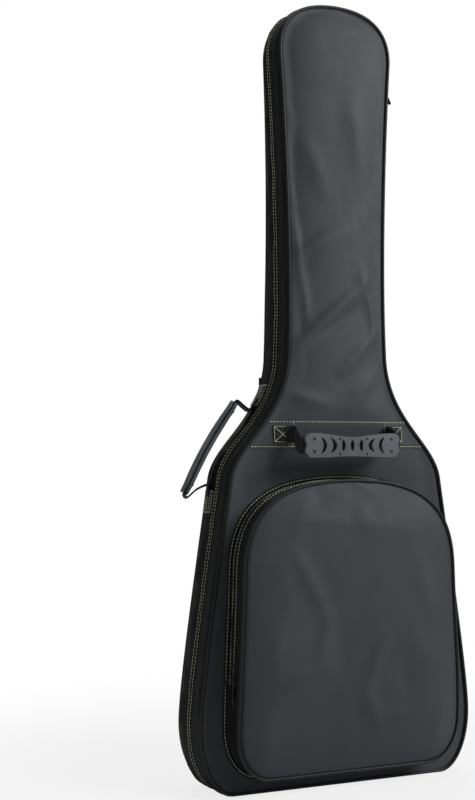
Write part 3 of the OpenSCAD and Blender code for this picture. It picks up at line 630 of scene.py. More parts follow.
def along(stations, section, across=20, wrinkle=0.0, scale=(26.0, 60.0), closed=False, seed=0.0, second=0.7,
          wide=0.05):
    """Lays a section along stations of an outline. wrinkle moves the outer side in and out."""
    count = len(stations) - (0 if closed else 1)

    def place(u, v):
        p, n, s = stations[round(v * count) % len(stations)]
        inwards, y = section(u % 1.0, p.y)
        if wrinkle and u < OUTER:
            inwards -= wrinkle * math.sin(math.pi * u / OUTER) * ripple(s, y, scale, seed, second)
        q = p - n * inwards
        return lean_back(Vector((q.x, y, q.y)))

    return laid(across, count, place, (wide, count * STEP))


def caps(made):
    """Closes the open ends of a strip."""
    bmesh.ops.holes_fill(made, edges=[e for e in made.edges if e.is_boundary], sides=0)
    return made


GAP, OUT, gusset_inner = 0.0004, 0.0008, 0.010
back_ends, front_ends = (base_edge + GAP, back_in - GAP), (front_in + GAP, cover_edge - GAP)
back_strip = strip_section(*back_ends, OUT, gusset_inner, 0.0042, 0.8)
front_strip = strip_section(*front_ends, OUT, gusset_inner, 0.0018, 0.8)
back_wrinkle, front_wrinkle = dict(wrinkle=0.0022), dict(wrinkle=0.0012, seed=3.0)
padded_gusset = dict(soft={}, fill=0.4, slot="gusset_fabric")
base_gusset = piece("gusset_back", caps(along(zipped, back_strip, **back_wrinkle)), gusset_dark_and_shaded_cloth, "base",
                    replaced=("back_gusset",), **padded_gusset)
piece("gusset_front", caps(along(zipped, front_strip, **front_wrinkle)), gusset_dark_and_shaded_cloth, "cover",
      replaced=("front_gusset",), **padded_gusset)

# %% [markdown]
# The hinge web is softer than the padded gusset, since it has to fold when the cover swings. It is
# one mesh, made in place between the back and the cover.

# %% Hinge web
web_blend = ("base", "cover", (0, back_in - 0.002, 0), (0, front_in + 0.002, 0))
web_section = strip_section(front_in + GAP, back_in - GAP, 0.0012, 0.0062, 0.0036, 0.8)
web = caps(along(hinged, web_section, across=30, wrinkle=0.0030, scale=(16.0, 30.0), seed=9.0))
piece("gusset_hinge", web, gusset_dark_and_shaded_cloth, None, replaced=("hinge_gusset",), blend=web_blend, slot="gusset_fabric")
web_lining = strip_section(front_in + 0.002, back_in - 0.002, 0.0066, 0.0074, 0.0)
piece("gusset_hinge_lining", caps(along(hinged, web_lining, across=30)), lining_cloth, None, blend=web_blend,
      slot="lining")

# %% [markdown]
# A tape covers each cross seam, where the web meets the zipped gusset, and a lining closes the
# inside of the gusset.

# %% Seam tapes and gusset lining
for label, middle in (("low", hinged[0][2]), ("high", hinged[-1][2])):
    near = [s for s in bag_loop if abs(s[2] - middle) < 0.0125]
    for body, y0, y1, bulge in (("base", base_edge, back_in, 0.0026), ("cover", front_in, cover_edge, 0.0012)):
        section = strip_section(y0 + 0.0006, y1 - 0.0006, -0.0006, 0.0004, bulge, 0.8)
        piece(f"seam_tape_{label}_{body}", caps(along(near, section, across=16)), gusset_dark_and_shaded_cloth, body,
              slot="gusset_fabric")
for label, y0, y1, body in (("back", base_edge + 0.001, back_in - 0.008, "base"),
                            ("front", front_in + 0.008, cover_edge - 0.001, "cover")):
    section = strip_section(y0, y1, gusset_inner + 0.0002, gusset_inner + 0.0010, 0)
    piece(f"gusset_lining_{label}", caps(along(zipped, section)), lining_cloth, body, slot="lining")

# %% [markdown]
# Piping is a cord wrapped in a bias strip. It stands a little proud of both faces and catches the
# light as one thin line, so it is swept as a true round.

# %% Piping
def round_section(radius, depth, inwards):
    """A cord's section. depth is a number, or a function of the height."""
    at = depth if callable(depth) else lambda z: depth
    return lambda u, z: (inwards - radius * math.cos(math.tau * u), at(z) + radius * math.sin(math.tau * u))


cord = 0.0023
for label, y, body in (("back", back_face - 0.0014, "base"), ("front", front_face + 0.0014, "cover")):
    piece(f"piping_{label}", along(bag_loop, round_section(cord, y, 0.0021), 10, closed=True), piping_cloth, body,
          replaced=(f"{label}_piping",), slot="piping")

# %% [markdown]
# The zip lies face down, so its two tapes show outside and meet at a thin line. The nylon coils
# are behind them, seen only when the bag is open: each is a row of small loops.

# %% Zip tapes and coils
for name in ("zip_tape_base", "zip_tape_cover"):
    refinish(name, tape_cloth)


def teeth(name, stations, inwards, depth, side, body, replaced, pitch=0.0026):
    """A row of coil loops: short rounded bars that hook towards the line of the zip."""
    made = bmesh.new()
    points = evenly([s[0] - s[1] * inwards for s in stations], pitch)
    for i, p in enumerate(points):
        way = (points[min(i + 1, len(points) - 1)] - points[max(i - 1, 0)]).normalized()
        spin = placed(Vector((way.x, 0, way.y)), Vector((0, side, 0)), Vector((way.y, 0, -way.x)), (p.x, depth, p.y))
        bmesh.ops.create_cone(made, cap_ends=True, segments=6, radius1=0.00075, radius2=0.00055, depth=0.0030,
                              matrix=spin @ Matrix.Rotation(math.radians(-90), 4, "X"))
    return piece(name, made, coil_nylon, body, replaced=replaced, facing=False, slot="zip_coil")


teeth("coil_base", zipped, 0.0044, zip_line + 0.0022, 1, "base", ("zip_coil_base",))
teeth("coil_cover", zipped, 0.0044, zip_line - 0.0022, -1, "cover", ("zip_coil_cover",))

# %% [markdown]
# ## Stitches
# Contrast thread is what the eye follows on a dark bag. A seam is a row of short stitches of
# thick thread, each sunk a little at its ends, so a stitch is a six-sided bar with a few faces.

# %% Rows of stitches
def stitch_row(made, points, outward, pitch=0.0046, length=0.0030, thick=0.00062):
    """Adds stitches along points. outward gives the cloth's direction at each, or one for all."""
    path = evenly(points, pitch)
    for a, b in zip(path, path[1:]):
        way = (b - a).normalized()
        out = outward(a.lerp(b, 0.5)) if callable(outward) else outward
        side = way.cross(out).normalized()
        out = side.cross(way)
        turned = placed(side, out, way, a.lerp(b, 0.5) + out * thick * 0.35)
        bmesh.ops.create_cone(made, cap_ends=True, segments=6, radius1=thick, radius2=thick, depth=length,
                              matrix=turned)


def sewn(name, rows, material, body, blend=None, **stitch):
    made = bmesh.new()
    for points, outward in rows:
        stitch_row(made, points, outward, **stitch)
    count = len(made.faces) // 8
    obj = piece(name, made, material, body, facing=False, blend=blend)
    print(name, "has", count, "stitches")
    return obj


def outward_of(stations):
    """A function that gives the outward direction of the station nearest to a place."""
    def outward(at):
        near = min(stations, key=lambda s: (s[0].x - at.x) ** 2 + (s[0].y - at.z) ** 2)
        return Vector((near[1].x, 0, near[1].y))
    return outward


def gusset_row(y, ends, section, wrinkle, seed=0.0, scale=(26.0, 60.0), second=0.7):
    """A row on a zipped gusset, at depth y, lying on the bulge and the wrinkles that the strip has there."""
    share = (y - ends[0]) / (ends[1] - ends[0])
    points = []
    for p, n, s in zipped:
        rise = wrinkle * math.sin(math.pi * share) * ripple(s, y, scale, seed, second)
        q = p - n * (section(OUTER * share, 0)[0] - rise)
        points.append(lean_back(Vector((q.x, y, q.y))))
    return points, outward_of(zipped)


back_rows = [gusset_row(base_edge + away, back_ends, back_strip, **back_wrinkle) for away in (0.0022, 0.0072)]
sewn("stitches_gusset_back", back_rows, thread, "base")
sewn("stitches_gusset_front", [gusset_row(cover_edge - 0.0022, front_ends, front_strip, **front_wrinkle)],
     thread_dark, "cover")

# %% [markdown]
# ## Pocket
# The pocket is a domed box of soft cloth. Its face and the front part of its gusset are one piece
# from the flap over the fold to the pouch, so they are made as single meshes. The zip ends at the
# fold on both sides. The face slopes back at the bottom, where nothing fills it.

# %% Pocket face and cords
pocket_blend = ("cover", "pocket_flap", (0, 0, fold - 0.009), (0, 0, fold + 0.009))
pocket_floor = pocket_side[0].y


def pocket_front(z):
    """Depth of the pocket's seam at a height: it lies further back towards the bottom."""
    t = clamped((fold + 0.03 - z) / (fold + 0.03 - pocket_floor))
    return pocket_face_y + 0.009 * t * t


pocket_folds = [
    (-83, 306, -41, 226, 9, 3.4), (-41, 226, -52, 165, 9, 3.0), (-52, 165, -104, 146, 9, 2.6),
    (-16, 215, -22, 150, 12, -2.4), (41, 200, 14, 126, 10, 3.2), (14, 126, 41, 73, 10, 2.8),
    (70, 175, 80, 100, 12, -2.2), (100, 300, 118, 200, 10, 2.6), (0, 380, 30, 330, 16, 1.6),
    (-132, 100, -120, 50, 8, 1.4), (130, 110, 122, 55, 8, 1.6), (-60, 380, -96, 330, 10, 1.8),
]


def pocket_at(x, z, d):
    lift = crown(d, 0.055, 0.0078) + rumpled(pocket_folds, x, z, d, 0.0022, (11, 9), 1.3)
    return Vector((x, pocket_front(z) + 0.0016 - lift, z))


pocket_way = dict(closed=True, wide=0.03, scale=(30.0, 50.0), second=0.0)
piece("pocket_face", panel(pocket_side, 0.0022, 44, 84, pocket_at, thick=0.0026), pocket_painted_shade_cloth, None,
      replaced=("pocket_pouch", "pocket_flap"), blend=pocket_blend, soft=dict(loosen=0.004), fill=0.3,
      slot="shell_fabric")
piece("pocket_cord", along(pocket_loop, round_section(0.0021, lambda z: pocket_front(z) + 0.0008, -0.0002), 10,
                           **pocket_way),
      piping_cloth, None, replaced=("pouch_piping", "flap_piping"), blend=pocket_blend, slot="piping")

# %% Pocket gussets
rear_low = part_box("pocket_rear_gusset")[0].y
flap_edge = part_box("flap_gusset")[1].y


def front_part(u, z):
    """From the cord to the zip tape, and down to the rear gusset where there is no zip."""
    open_share = clamped((z - fold + 0.008) / 0.010)
    far = rear_low - GAP + open_share * (flap_edge - rear_low)
    return ring(u, pocket_front(z) + 0.0014, far, GAP, 0.0026, 0.0016)


rear_part = strip_section(rear_low + GAP, front_face + 0.0024, GAP, 0.0026, 0.0012)
piece("pocket_gusset_front", along(pocket_loop, front_part, 16, wrinkle=0.0022, seed=2.0, **pocket_way),
      gusset_dark_and_shaded_cloth, None, replaced=("flap_gusset",), blend=pocket_blend, slot="gusset_fabric")
piece("pocket_gusset_rear", along(pocket_loop, rear_part, 14, wrinkle=0.0016, seed=4.0, **pocket_way),
      gusset_dark_and_shaded_cloth, "cover", replaced=("pocket_rear_gusset",), slot="gusset_fabric")
for name in ("pocket_zip_rear", "pocket_zip_flap"):
    refinish(name, tape_cloth)

# %% Pocket stitches
zipped_pocket = [s for s in pocket_loop if s[0].y > fold + 0.004]
print("pocket zip stations:", len(zipped_pocket))


def pocket_row(depth, out):
    """A row round the zipped part of the pocket's gusset, at a depth, standing out from its seam."""
    points = [Vector((p.x + n.x * out, depth, p.y + n.y * out)) for p, n, s in zipped_pocket]
    return points, outward_of(zipped_pocket)


rear_rows = [pocket_row(depth, 0.0004) for depth in (rear_low + 0.0024, front_face - 0.0030)]
sewn("stitches_pocket_rear", rear_rows, thread, "cover")
sewn("stitches_pocket_flap", [pocket_row(flap_edge - 0.0022, 0.0006)], thread_dark, "pocket_flap")

# %% [markdown]
# The rear gusset is turned under and top-stitched to the front of the bag, so a row of thread runs
# on the face just outside the pocket.

# %% Hem round the pocket
def hem_place(u, v):
    p, n, s = pocket_loop[round(v * len(pocket_loop)) % len(pocket_loop)]
    q = p + n * (0.0008 + 0.0062 * u)
    return on_front(q.x, q.y, 0.0010 * math.sin(math.pi * min(1.0, u)) ** 0.5 + 0.0002)


piece("pocket_hem", laid(6, len(pocket_loop), hem_place, (0.006, len(pocket_loop) * STEP)), gusset_dark_and_shaded_cloth, "cover",
      facing=FORWARD, slot="gusset_fabric")
hem_line = [p + n * 0.0042 for p, n, s in pocket_loop]
sewn("stitches_pocket_hem", [([on_front(q.x, q.y, 0.0010) for q in hem_line], FORWARD)], thread, "cover")

# %% [markdown]
# ## Band and carrying handle
# A band of shell cloth crosses the front at the shoulders and carries the handle. It is laid on
# the finished face by casting a ray at each of its points, and its edges sink into the face, as a
# turned hem does.

# %% Bands and patches on a face
def on_face(across, rows, place, size, lift, edge=0.12):
    """Lays a grid on a face. place(u, v) gives x, z and the face's own function."""
    def at(u, v):
        x, z, surface = place(u, v)
        rim = min(u, 1 - u, v, 1 - v) / edge
        return surface(x, z, lift * min(1.0, rim) ** 0.5 - 0.0006 * (rim < 0.01))
    return laid(across, rows, at, size)


def band_place(low, high, surface, way=1):
    """place(u, v) for a band across a face, which ends just inside the piping."""
    def at(u, v):
        z = low + v * (high - low)
        return way * (2 * u - 1) * (half_width(bag_side, z) - 0.0052), z, surface
    return at


def rows_across(surface, z, lift, facing, stops=(), count=90):
    """A row of stitches across a face at a height, left open between each pair of stops."""
    reach = half_width(bag_side, z) - 0.008
    ends = [-reach, *stops, reach]
    return [([surface(x, z, lift) for x in np.linspace(a, b, count)], facing) for a, b in zip(ends[::2], ends[1::2])]


band_low, band_high = (corner.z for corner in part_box("handle_band"))
band_middle = (band_low + band_high) / 2
piece("band_front", on_face(80, 14, band_place(band_low, band_high, on_front), (0.29, 0.038), 0.0016), shell, "cover",
      replaced=("handle_band",), facing=FORWARD, slot="shell_fabric")
band_rows = [row for z in (band_low + 0.0026, band_high - 0.0026) for row in rows_across(on_front, z, 0.0019, FORWARD)]
sewn("stitches_band", band_rows, thread, "cover")

# %% [markdown]
# Webbing patches hold the handle. Each is sewn down with a box and a cross in bright thread, the
# strongest seam for a strap end.

# %% Box-stitched patches
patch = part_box("carry_handle_patches")
patch_out, patch_in = patch[1].x, patch[1].x - 0.028


def box_cross(surface, x0, x1, z0, z1, lift, facing):
    """Rows for a box with a cross in it."""
    corners = [(x0, z0), (x1, z0), (x1, z1), (x0, z1), (x0, z0)]
    legs = list(zip(corners, corners[1:])) + [((x0, z0), (x1, z1)), ((x0, z1), (x1, z0))]
    return [([surface(a + (c - a) * t, b + (d - b) * t, lift) for t in np.linspace(0, 1, 12)], facing)
            for (a, b), (c, d) in legs]


cross_rows = []
for side, label in ((-1, "left"), (1, "right")):
    def patch_place(u, v, side=side):
        return side * (patch_in + u * (patch_out - patch_in)), patch[0].z + v * (patch[1].z - patch[0].z), on_front
    piece(f"handle_patch_{label}", on_face(14, 12, patch_place, (0.028, 0.025), 0.0030), web_cloth, "cover",
          replaced=("carry_handle_patches",), facing=FORWARD, slot="webbing")
    cross_rows += box_cross(on_front, side * (patch_in + 0.0025), side * (patch_out - 0.0025),
                            patch[0].z + 0.0025, patch[1].z - 0.0025, 0.0034, FORWARD)
    edge_x = side * (patch_in - 0.001)
    cross_rows.append(([on_front(edge_x, z, 0.0020) for z in np.linspace(band_low + 0.002, band_high - 0.002, 20)],
                       FORWARD))
sewn("stitches_handle_boxes", cross_rows, thread_bright, "cover", pitch=0.0036, length=0.0029, thick=0.0005)

# %% [markdown]
# ## Grips
# A grip is two moulded halves pinned round the webbing. The outer half is cut through by rows of
# crescents that turn towards its middle, with short slots between them. Each hole is a closed
# ring of points, filled flat together with the outline, so that the plate gets its openings before
# it gets its thickness and its rounded edges.

# %% Shape of the grip
grip_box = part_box("carry_grip_outer")
half_long, half_high = (grip_box[1].x - grip_box[0].x) / 2, (grip_box[1].z - grip_box[0].z) / 2
grip_thick = grip_box[1].y - grip_box[0].y


def rounded(corner, ring, steps=5):
    """Rounds the corners of a closed ring of places."""
    out = []
    for i, p in enumerate(ring):
        before, after = ring[i - 1], ring[(i + 1) % len(ring)]
        back, on = (before - p), (after - p)
        cut = min(corner, back.length * 0.45, on.length * 0.45)
        a, c = p + back.normalized() * cut, p + on.normalized() * cut
        for k in range(steps):
            t = k / (steps - 1)
            out.append(a * (1 - t) ** 2 + p * (2 * (1 - t) * t) + c * (t * t))
    return out


def grip_ring():
    waist = [Vector((x * half_long, half_high - 0.0050 * math.cos(x / 0.8 * math.pi / 2) ** 2))
             for x in np.linspace(0.78, -0.78, 17)]
    ends = [Vector((-half_long + 0.006, half_high)), Vector((-half_long, half_high - 0.007)),
            Vector((-half_long + 0.004, 0.001)), Vector((-half_long, -half_high + 0.008)),
            Vector((-half_long + 0.008, -half_high)), Vector((half_long - 0.008, -half_high)),
            Vector((half_long, -half_high + 0.008)), Vector((half_long - 0.004, 0.001)),
            Vector((half_long, half_high - 0.007)), Vector((half_long - 0.006, half_high))]
    belly = [Vector((x * half_long, -half_high - 0.0 + 0.0016 * math.cos(x / 0.8 * math.pi / 2) ** 2))
             for x in np.linspace(-0.8, 0.8, 9)]
    return rounded(0.004, waist + ends[:5] + belly + ends[5:], 4)


def crescent(x, bend, high, wide, steps=9):
    """A slot that bows by bend and is widest in its middle."""
    outer, inner = [], []
    for t in np.linspace(-1, 1, steps):
        middle = x + bend * (1 - t * t)
        thick = wide * (1 - t * t) ** 0.5 * 0.5 + 0.0002
        outer.append(Vector((middle + thick, t * high / 2)))
        inner.append(Vector((middle - thick, t * high / 2)))
    return outer + inner[::-1]


def disc_ring(x, z, radius, steps=12):
    return [Vector((x + radius * math.cos(math.tau * i / steps), z + radius * math.sin(math.tau * i / steps)))
            for i in range(steps)]


slots = [crescent(-0.0470, 0.0055, 0.022, 0.0042), crescent(-0.0330, 0.0060, 0.020, 0.0050),
         crescent(-0.0155, 0.0012, 0.015, 0.0046), crescent(-0.0015, 0.0, 0.014, 0.0046),
         crescent(0.0125, -0.0012, 0.015, 0.0046), crescent(0.0310, -0.0060, 0.018, 0.0050),
         crescent(0.0455, -0.0055, 0.022, 0.0042)]
pin_x = half_long - 0.88 * half_high
dots = [disc_ring(sx * 0.0200, z, 0.0013) for sx in (-1, 1) for z in (0.0085, -0.0115)]
pin_holes = [disc_ring(sx * pin_x, sz * half_high / 2, 0.0021) for sx in (-1, 1) for sz in (-1, 1)]


def plate_with(rings, depth, thick, lift=lambda x, z: 0):
    """A flat plate from rings of places: the first is its outline, the others are holes. lift(x, z) crowns it."""
    made = bmesh.new()
    edges = []
    for ring in rings:
        verts = [made.verts.new((p.x, depth, p.y)) for p in ring]
        edges += [made.edges.new((a, b)) for a, b in zip(verts, verts[1:] + verts[:1])]
    bmesh.ops.triangle_fill(made, use_beauty=True, edges=edges)
    bmesh.ops.dissolve_limit(made, angle_limit=0.01, verts=made.verts, edges=made.edges)
    bmesh.ops.triangulate(made, faces=made.faces)
    front = bmesh.ops.extrude_face_region(made, geom=made.faces[:])
    moved = [v for v in front["geom"] if isinstance(v, bmesh.types.BMVert)]
    bmesh.ops.translate(made, verts=moved, vec=(0, -thick, 0))
    bmesh.ops.recalc_face_normals(made, faces=made.faces)
    sharp = [e for e in made.edges if len(e.link_faces) == 2 and e.calc_face_angle(0) > 1.0
             and all(abs(v.co.y - (depth - thick)) < 1e-6 for v in e.verts)]
    bmesh.ops.bevel(made, geom=sharp, offset=0.0007, segments=2, profile=0.5, affect="EDGES", material=-1,
                    clamp_overlap=True)
    for vert in made.verts:
        share = max(0.0, (depth - vert.co.y) / thick)
        vert.co.y -= lift(vert.co.x, vert.co.z) * share
    return made


def grip_crown(x, z):
    """The grip is a little thicker along its middle and at its shoulders."""
    return 0.0010 * (1 - (z / half_high) ** 2) - 0.0012 * (abs(x) / half_long) ** 6


def grip_pieces(prefix, body, at, bow=0.0):
    """The pieces of a grip, drawn at the origin and moved by at. bow is how far its middle stands out."""
    look = dict(flat=True, slot="grip_rubber")

    def bowed(made, scale):
        bmesh.ops.scale(made, vec=scale, verts=made.verts)
        for vert in made.verts:
            vert.co.y -= bow * max(0.0, 1 - (vert.co.x / (half_long - 0.013)) ** 2)
        bmesh.ops.transform(made, matrix=at, verts=made.verts)
        return made

    outer = plate_with([grip_ring()] + slots + dots + pin_holes, -0.0014, grip_thick - 0.0008, grip_crown)
    piece(f"{prefix}_grip_outer", bowed(outer, (1, 1, 1)), rubber, body, replaced=(prefix + "_grip_outer",), **look)
    core = plate_with([rounded(0.004, grip_ring()[::2], 2)], 0.0018, 0.0036)
    piece(f"{prefix}_grip_core", bowed(core, (0.97, 1, 0.92)), coil_nylon, body, **look)
    inner = plate_with([grip_ring()], -0.0014, grip_thick - 0.0008, grip_crown)
    piece(f"{prefix}_grip_inner", bowed(inner, (1, -1, 1)), rubber, body, replaced=(prefix + "_grip_inner",), **look)
    refinish(prefix + "_grip_pins", plug)


grip_at = Vector((0, (grip_box[1].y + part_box("carry_grip_inner")[0].y) / 2, (grip_box[0].z + grip_box[1].z) / 2))
grip_pieces("carry", "carry_handle", Matrix.Translation(grip_at))

# %% [markdown]
# Webbing runs through the grip and folds back at each end to the patch on the band. It is one
# strip: straight in the grip, round its end, and down to the cloth, where it stays sewn while the
# handle swings.

# %% A strip swept along a line
def strip(path, size, across, step=0.004, sides=20, power=(0.35, 0.6)):
    """A closed flat tube along path. size is its width and thickness, or gives them at a share of its length."""
    points = evenly(path, step)
    count = len(points) - 1
    size_at = size if callable(size) else lambda t: size

    def place(u, v):
        i = round(v * count)
        way = (points[min(i + 1, count)] - points[max(i - 1, 0)]).normalized()
        side = (across - way * across.dot(way)).normalized()
        up = side.cross(way)
        wide, thick = size_at(i / count)
        turn = math.tau * (u % 1.0)
        c, s = math.cos(turn), math.sin(turn)
        return (points[i] + side * (math.copysign(abs(c) ** power[0], c) * wide / 2)
                + up * (math.copysign(abs(s) ** power[1], s) * thick / 2))

    return caps(laid(sides, count, place, (2 * size_at(0.5)[0], count * step)))


def smooth_path(points, steps=10):
    """A soft line through places, like a strip that can't crease."""
    points = [Vector(p) for p in points]
    full = [points[0] * 2 - points[1]] + points + [points[-1] * 2 - points[-2]]
    line = []
    for a, b, c, d in zip(full, full[1:], full[2:], full[3:]):
        for t in np.linspace(0, 1, steps, endpoint=False):
            line.append(0.5 * ((2 * b) + (c - a) * t + (2 * a - 5 * b + 4 * c - d) * t * t
                               + (3 * b - a - 3 * c + d) * t ** 3))
    return line + [points[-1]]


# %% Webbing of the carrying handle
root = joint_at("carry_handle_swing")
for side, label in ((-1, "left"), (1, "right")):
    end_x = half_long + 0.0014
    path = smooth_path([(side * x, y, z) for x, y, z in (
        (patch_in + 0.010, on_front(side * (patch_in + 0.010), band_middle).y - 0.0032, band_middle),
        (patch_in + 0.003, root[1] + 0.0012, band_middle + 0.0002),
        (patch_in + 0.0005, root[1] - 0.006, band_middle - 0.001),
        (patch_in + 0.0022, root[1] - 0.016, band_middle - 0.008),
        (patch_in + 0.0026, grip_at.y + 0.007, grip_at.z + 0.0018),
        (end_x + 0.0008, grip_at.y + 0.0022, grip_at.z),
        (end_x - 0.004, grip_at.y, grip_at.z),
        (half_long - 0.030, grip_at.y, grip_at.z),
    )])
    piece(f"carry_webbing_{label}", strip(path, (0.0225, 0.0024), UP, 0.002, 16), web_cloth, None,
          replaced=("carry_webbing",), slot="webbing",
          blend=("cover", "carry_handle", (0, root[1] + 0.001, band_middle), (0, root[1] - 0.007, band_middle - 0.002)))

# %% [markdown]
# ## Side handle
# The same grip hangs from two webbing tabs on the gusset, for carrying the bag like a suitcase.
# Its own axes follow the line between the tabs.

# %% Place of the side handle
side_joint = next(j for j in frame["joints"] if j["name"] == "side_handle_swing")
run, hub = Vector(side_joint["axis"]), Vector(side_joint["pos_m"])
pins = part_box("side_grip_pins")
side_grip_at = (pins[0] + pins[1]) / 2
across_grip = side_grip_at - hub
droop = across_grip.dot(run)
out_dir = (across_grip - run * droop).normalized()
thick_dir = run.cross(out_dir).normalized()
# Grip axes: X along the run, -Y outwards, Z across the plate.
side_axes = placed(run, -out_dir, -thick_dir, side_grip_at)
if side_axes.to_3x3().determinant() < 0:
    side_axes = side_axes @ Matrix.Scale(-1, 4, (0, 0, 1))
grip_pieces("side", "side_handle", side_axes, bow=0.003)
print("side grip stands out", round((side_grip_at - hub).length / MM, 1), "mm and droops", round(droop / MM, 1))

# %% Tabs and webbing of the side handle
gusset_tree = tree_of(base_gusset)


def on_gusset(y, z, lift=0.0):
    """The gusset's outer surface, seen from the left at a depth and a height."""
    hit, normal, _, _ = gusset_tree.ray_cast(Vector((-0.4, y, z)), RIGHT)
    return hit + Vector((normal.x, 0, normal.z)).normalized() * lift if hit else Vector((0, y, z))


tab_low, tab_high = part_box("side_handle_patches")
tab_y, tab_wide = (tab_low.y + tab_high.y) / 2, tab_high.y - tab_low.y
tab_out = Vector((-0.9, 0, 0.43))
tab_rows = []
for label, z0, z1 in (("high", tab_high.z - 0.030, tab_high.z + 0.004), ("low", tab_low.z - 0.004, tab_low.z + 0.030)):
    def tab_place(u, v, z0=z0, z1=z1):
        rim = min(u, 1 - u, v, 1 - v) / 0.14
        lift = 0.0022 * min(1.0, rim) ** 0.5 - 0.0008 * (rim < 0.01)
        return on_gusset(tab_y + (u - 0.5) * tab_wide, z0 + v * (z1 - z0), lift)
    piece(f"side_tab_{label}", laid(12, 16, tab_place, (tab_wide, z1 - z0)), web_cloth, "base",
          replaced=("side_handle_patches",), facing=(-1, 0, 0), slot="webbing")
    tops = (z0 + 0.003, z1 - 0.003)
    half = tab_wide / 2
    lines = [[(y, z) for z in np.linspace(*tops, 14)]
             for y in np.linspace(tab_y - half + 0.003, tab_y + half - 0.003, 6)]
    lines += [[(y, z) for y in np.linspace(tab_y - half + 0.002, tab_y + half - 0.002, 8)] for z in tops]
    tab_rows += [([on_gusset(y, z, 0.0026) for y, z in line], tab_out) for line in lines]
sewn("stitches_side_tabs", tab_rows, thread, "base", pitch=0.0036, length=0.0027)

for label, sign, z_root in (("high", 1, tab_high.z - 0.034), ("low", -1, tab_low.z + 0.034)):
    near = hub + run * ((z_root - hub.z) / run.z)
    grip_end = side_grip_at + run * (sign * (half_long + 0.0014))
    path = smooth_path([
        on_gusset(tab_y, z_root + sign * 0.014, 0.0030), on_gusset(tab_y, z_root + sign * 0.004, 0.0036),
        near + out_dir * 0.003, near.lerp(grip_end, 0.45) + out_dir * 0.001,
        grip_end + run * (sign * 0.0008) - out_dir * 0.007, grip_end + run * (sign * 0.0010) - out_dir * 0.0020,
        grip_end - run * (sign * 0.004), side_grip_at + run * (sign * (half_long - 0.030)),
    ])
    piece(f"side_webbing_{label}", strip(path, (0.0215, 0.0024), -thick_dir, 0.002, 16), web_cloth, None,
          replaced=("side_webbing",), slot="webbing",
          blend=("base", "side_handle", tuple(near - out_dir * 0.003), tuple(near + out_dir * 0.006)))

# %% [markdown]
# ## Back: yoke band, straps and webbing
# The straps start at a band across the back, bow away from it, and end in webbing that runs
# through a buckle to the lower corners. Pads and webbing are strips swept along their line, with
# a width and a thickness for each place on it.

# %% Yoke band
yoke_low, yoke_high = (corner.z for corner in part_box("yoke_band"))
leg_wide, leg_out = 0.025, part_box("grab_handle")[1].x
piece("band_yoke", on_face(60, 14, band_place(yoke_low, yoke_high, on_back, -1), (0.16, 0.038), 0.0024), shell, "base",
      replaced=("yoke_band",), facing=BACKWARD, slot="shell_fabric")
# The upper row is open where the grab handle's webbing covers it.
legs_low, legs_high = leg_out - leg_wide - 0.0005, leg_out + 0.0005
yoke_rows = rows_across(on_back, yoke_low + 0.0026, 0.0027, BACKWARD, count=24)
yoke_rows += rows_across(on_back, yoke_high - 0.0030, 0.0027, BACKWARD,
                         (-legs_high, -legs_low, legs_low, legs_high), 24)

# %% [markdown]
# A shoulder strap is foam between two layers, bound at its edges and stitched twice along them.
# Its upper end is sewn flat under the band's seam and stays there.

# %% Line of a strap
strap_low, strap_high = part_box("strap_pad_right")
strap_mid, strap_wide = (strap_low.x + strap_high.x) / 2, strap_high.x - strap_low.x
strap_top, strap_end = strap_high.z, strap_low.z
strap_bow = 0.046
strap_line = []
for s in np.linspace(1, 0, 41):
    thick = 0.003 + 0.009 * min(1, s * 10, (1 - s) * 14 + 0.2)
    stand = (1 - s) * 0.0003 + s * 0.0146 + strap_bow * (1 - math.cos(math.tau * s ** 1.6)) / 2
    strap_line.append((strap_top - s * (strap_top - strap_end), back_face + stand + thick / 2, thick))
strap_line = np.array(strap_line)


def strap_at(z):
    """Middle depth and thickness of a strap at a height."""
    return [float(np.interp(z, strap_line[:, 0], strap_line[:, i])) for i in (1, 2)]


def strap_width(z):
    """Full width, drawn in over the last stretch above the buckle."""
    t = clamped((z - strap_end) / 0.040)
    return strap_wide * (0.66 + 0.34 * (t * (2 - t)) ** 0.8)


print("strap bows out", round(strap_line[:, 1].max() / MM, 1), "mm at most")

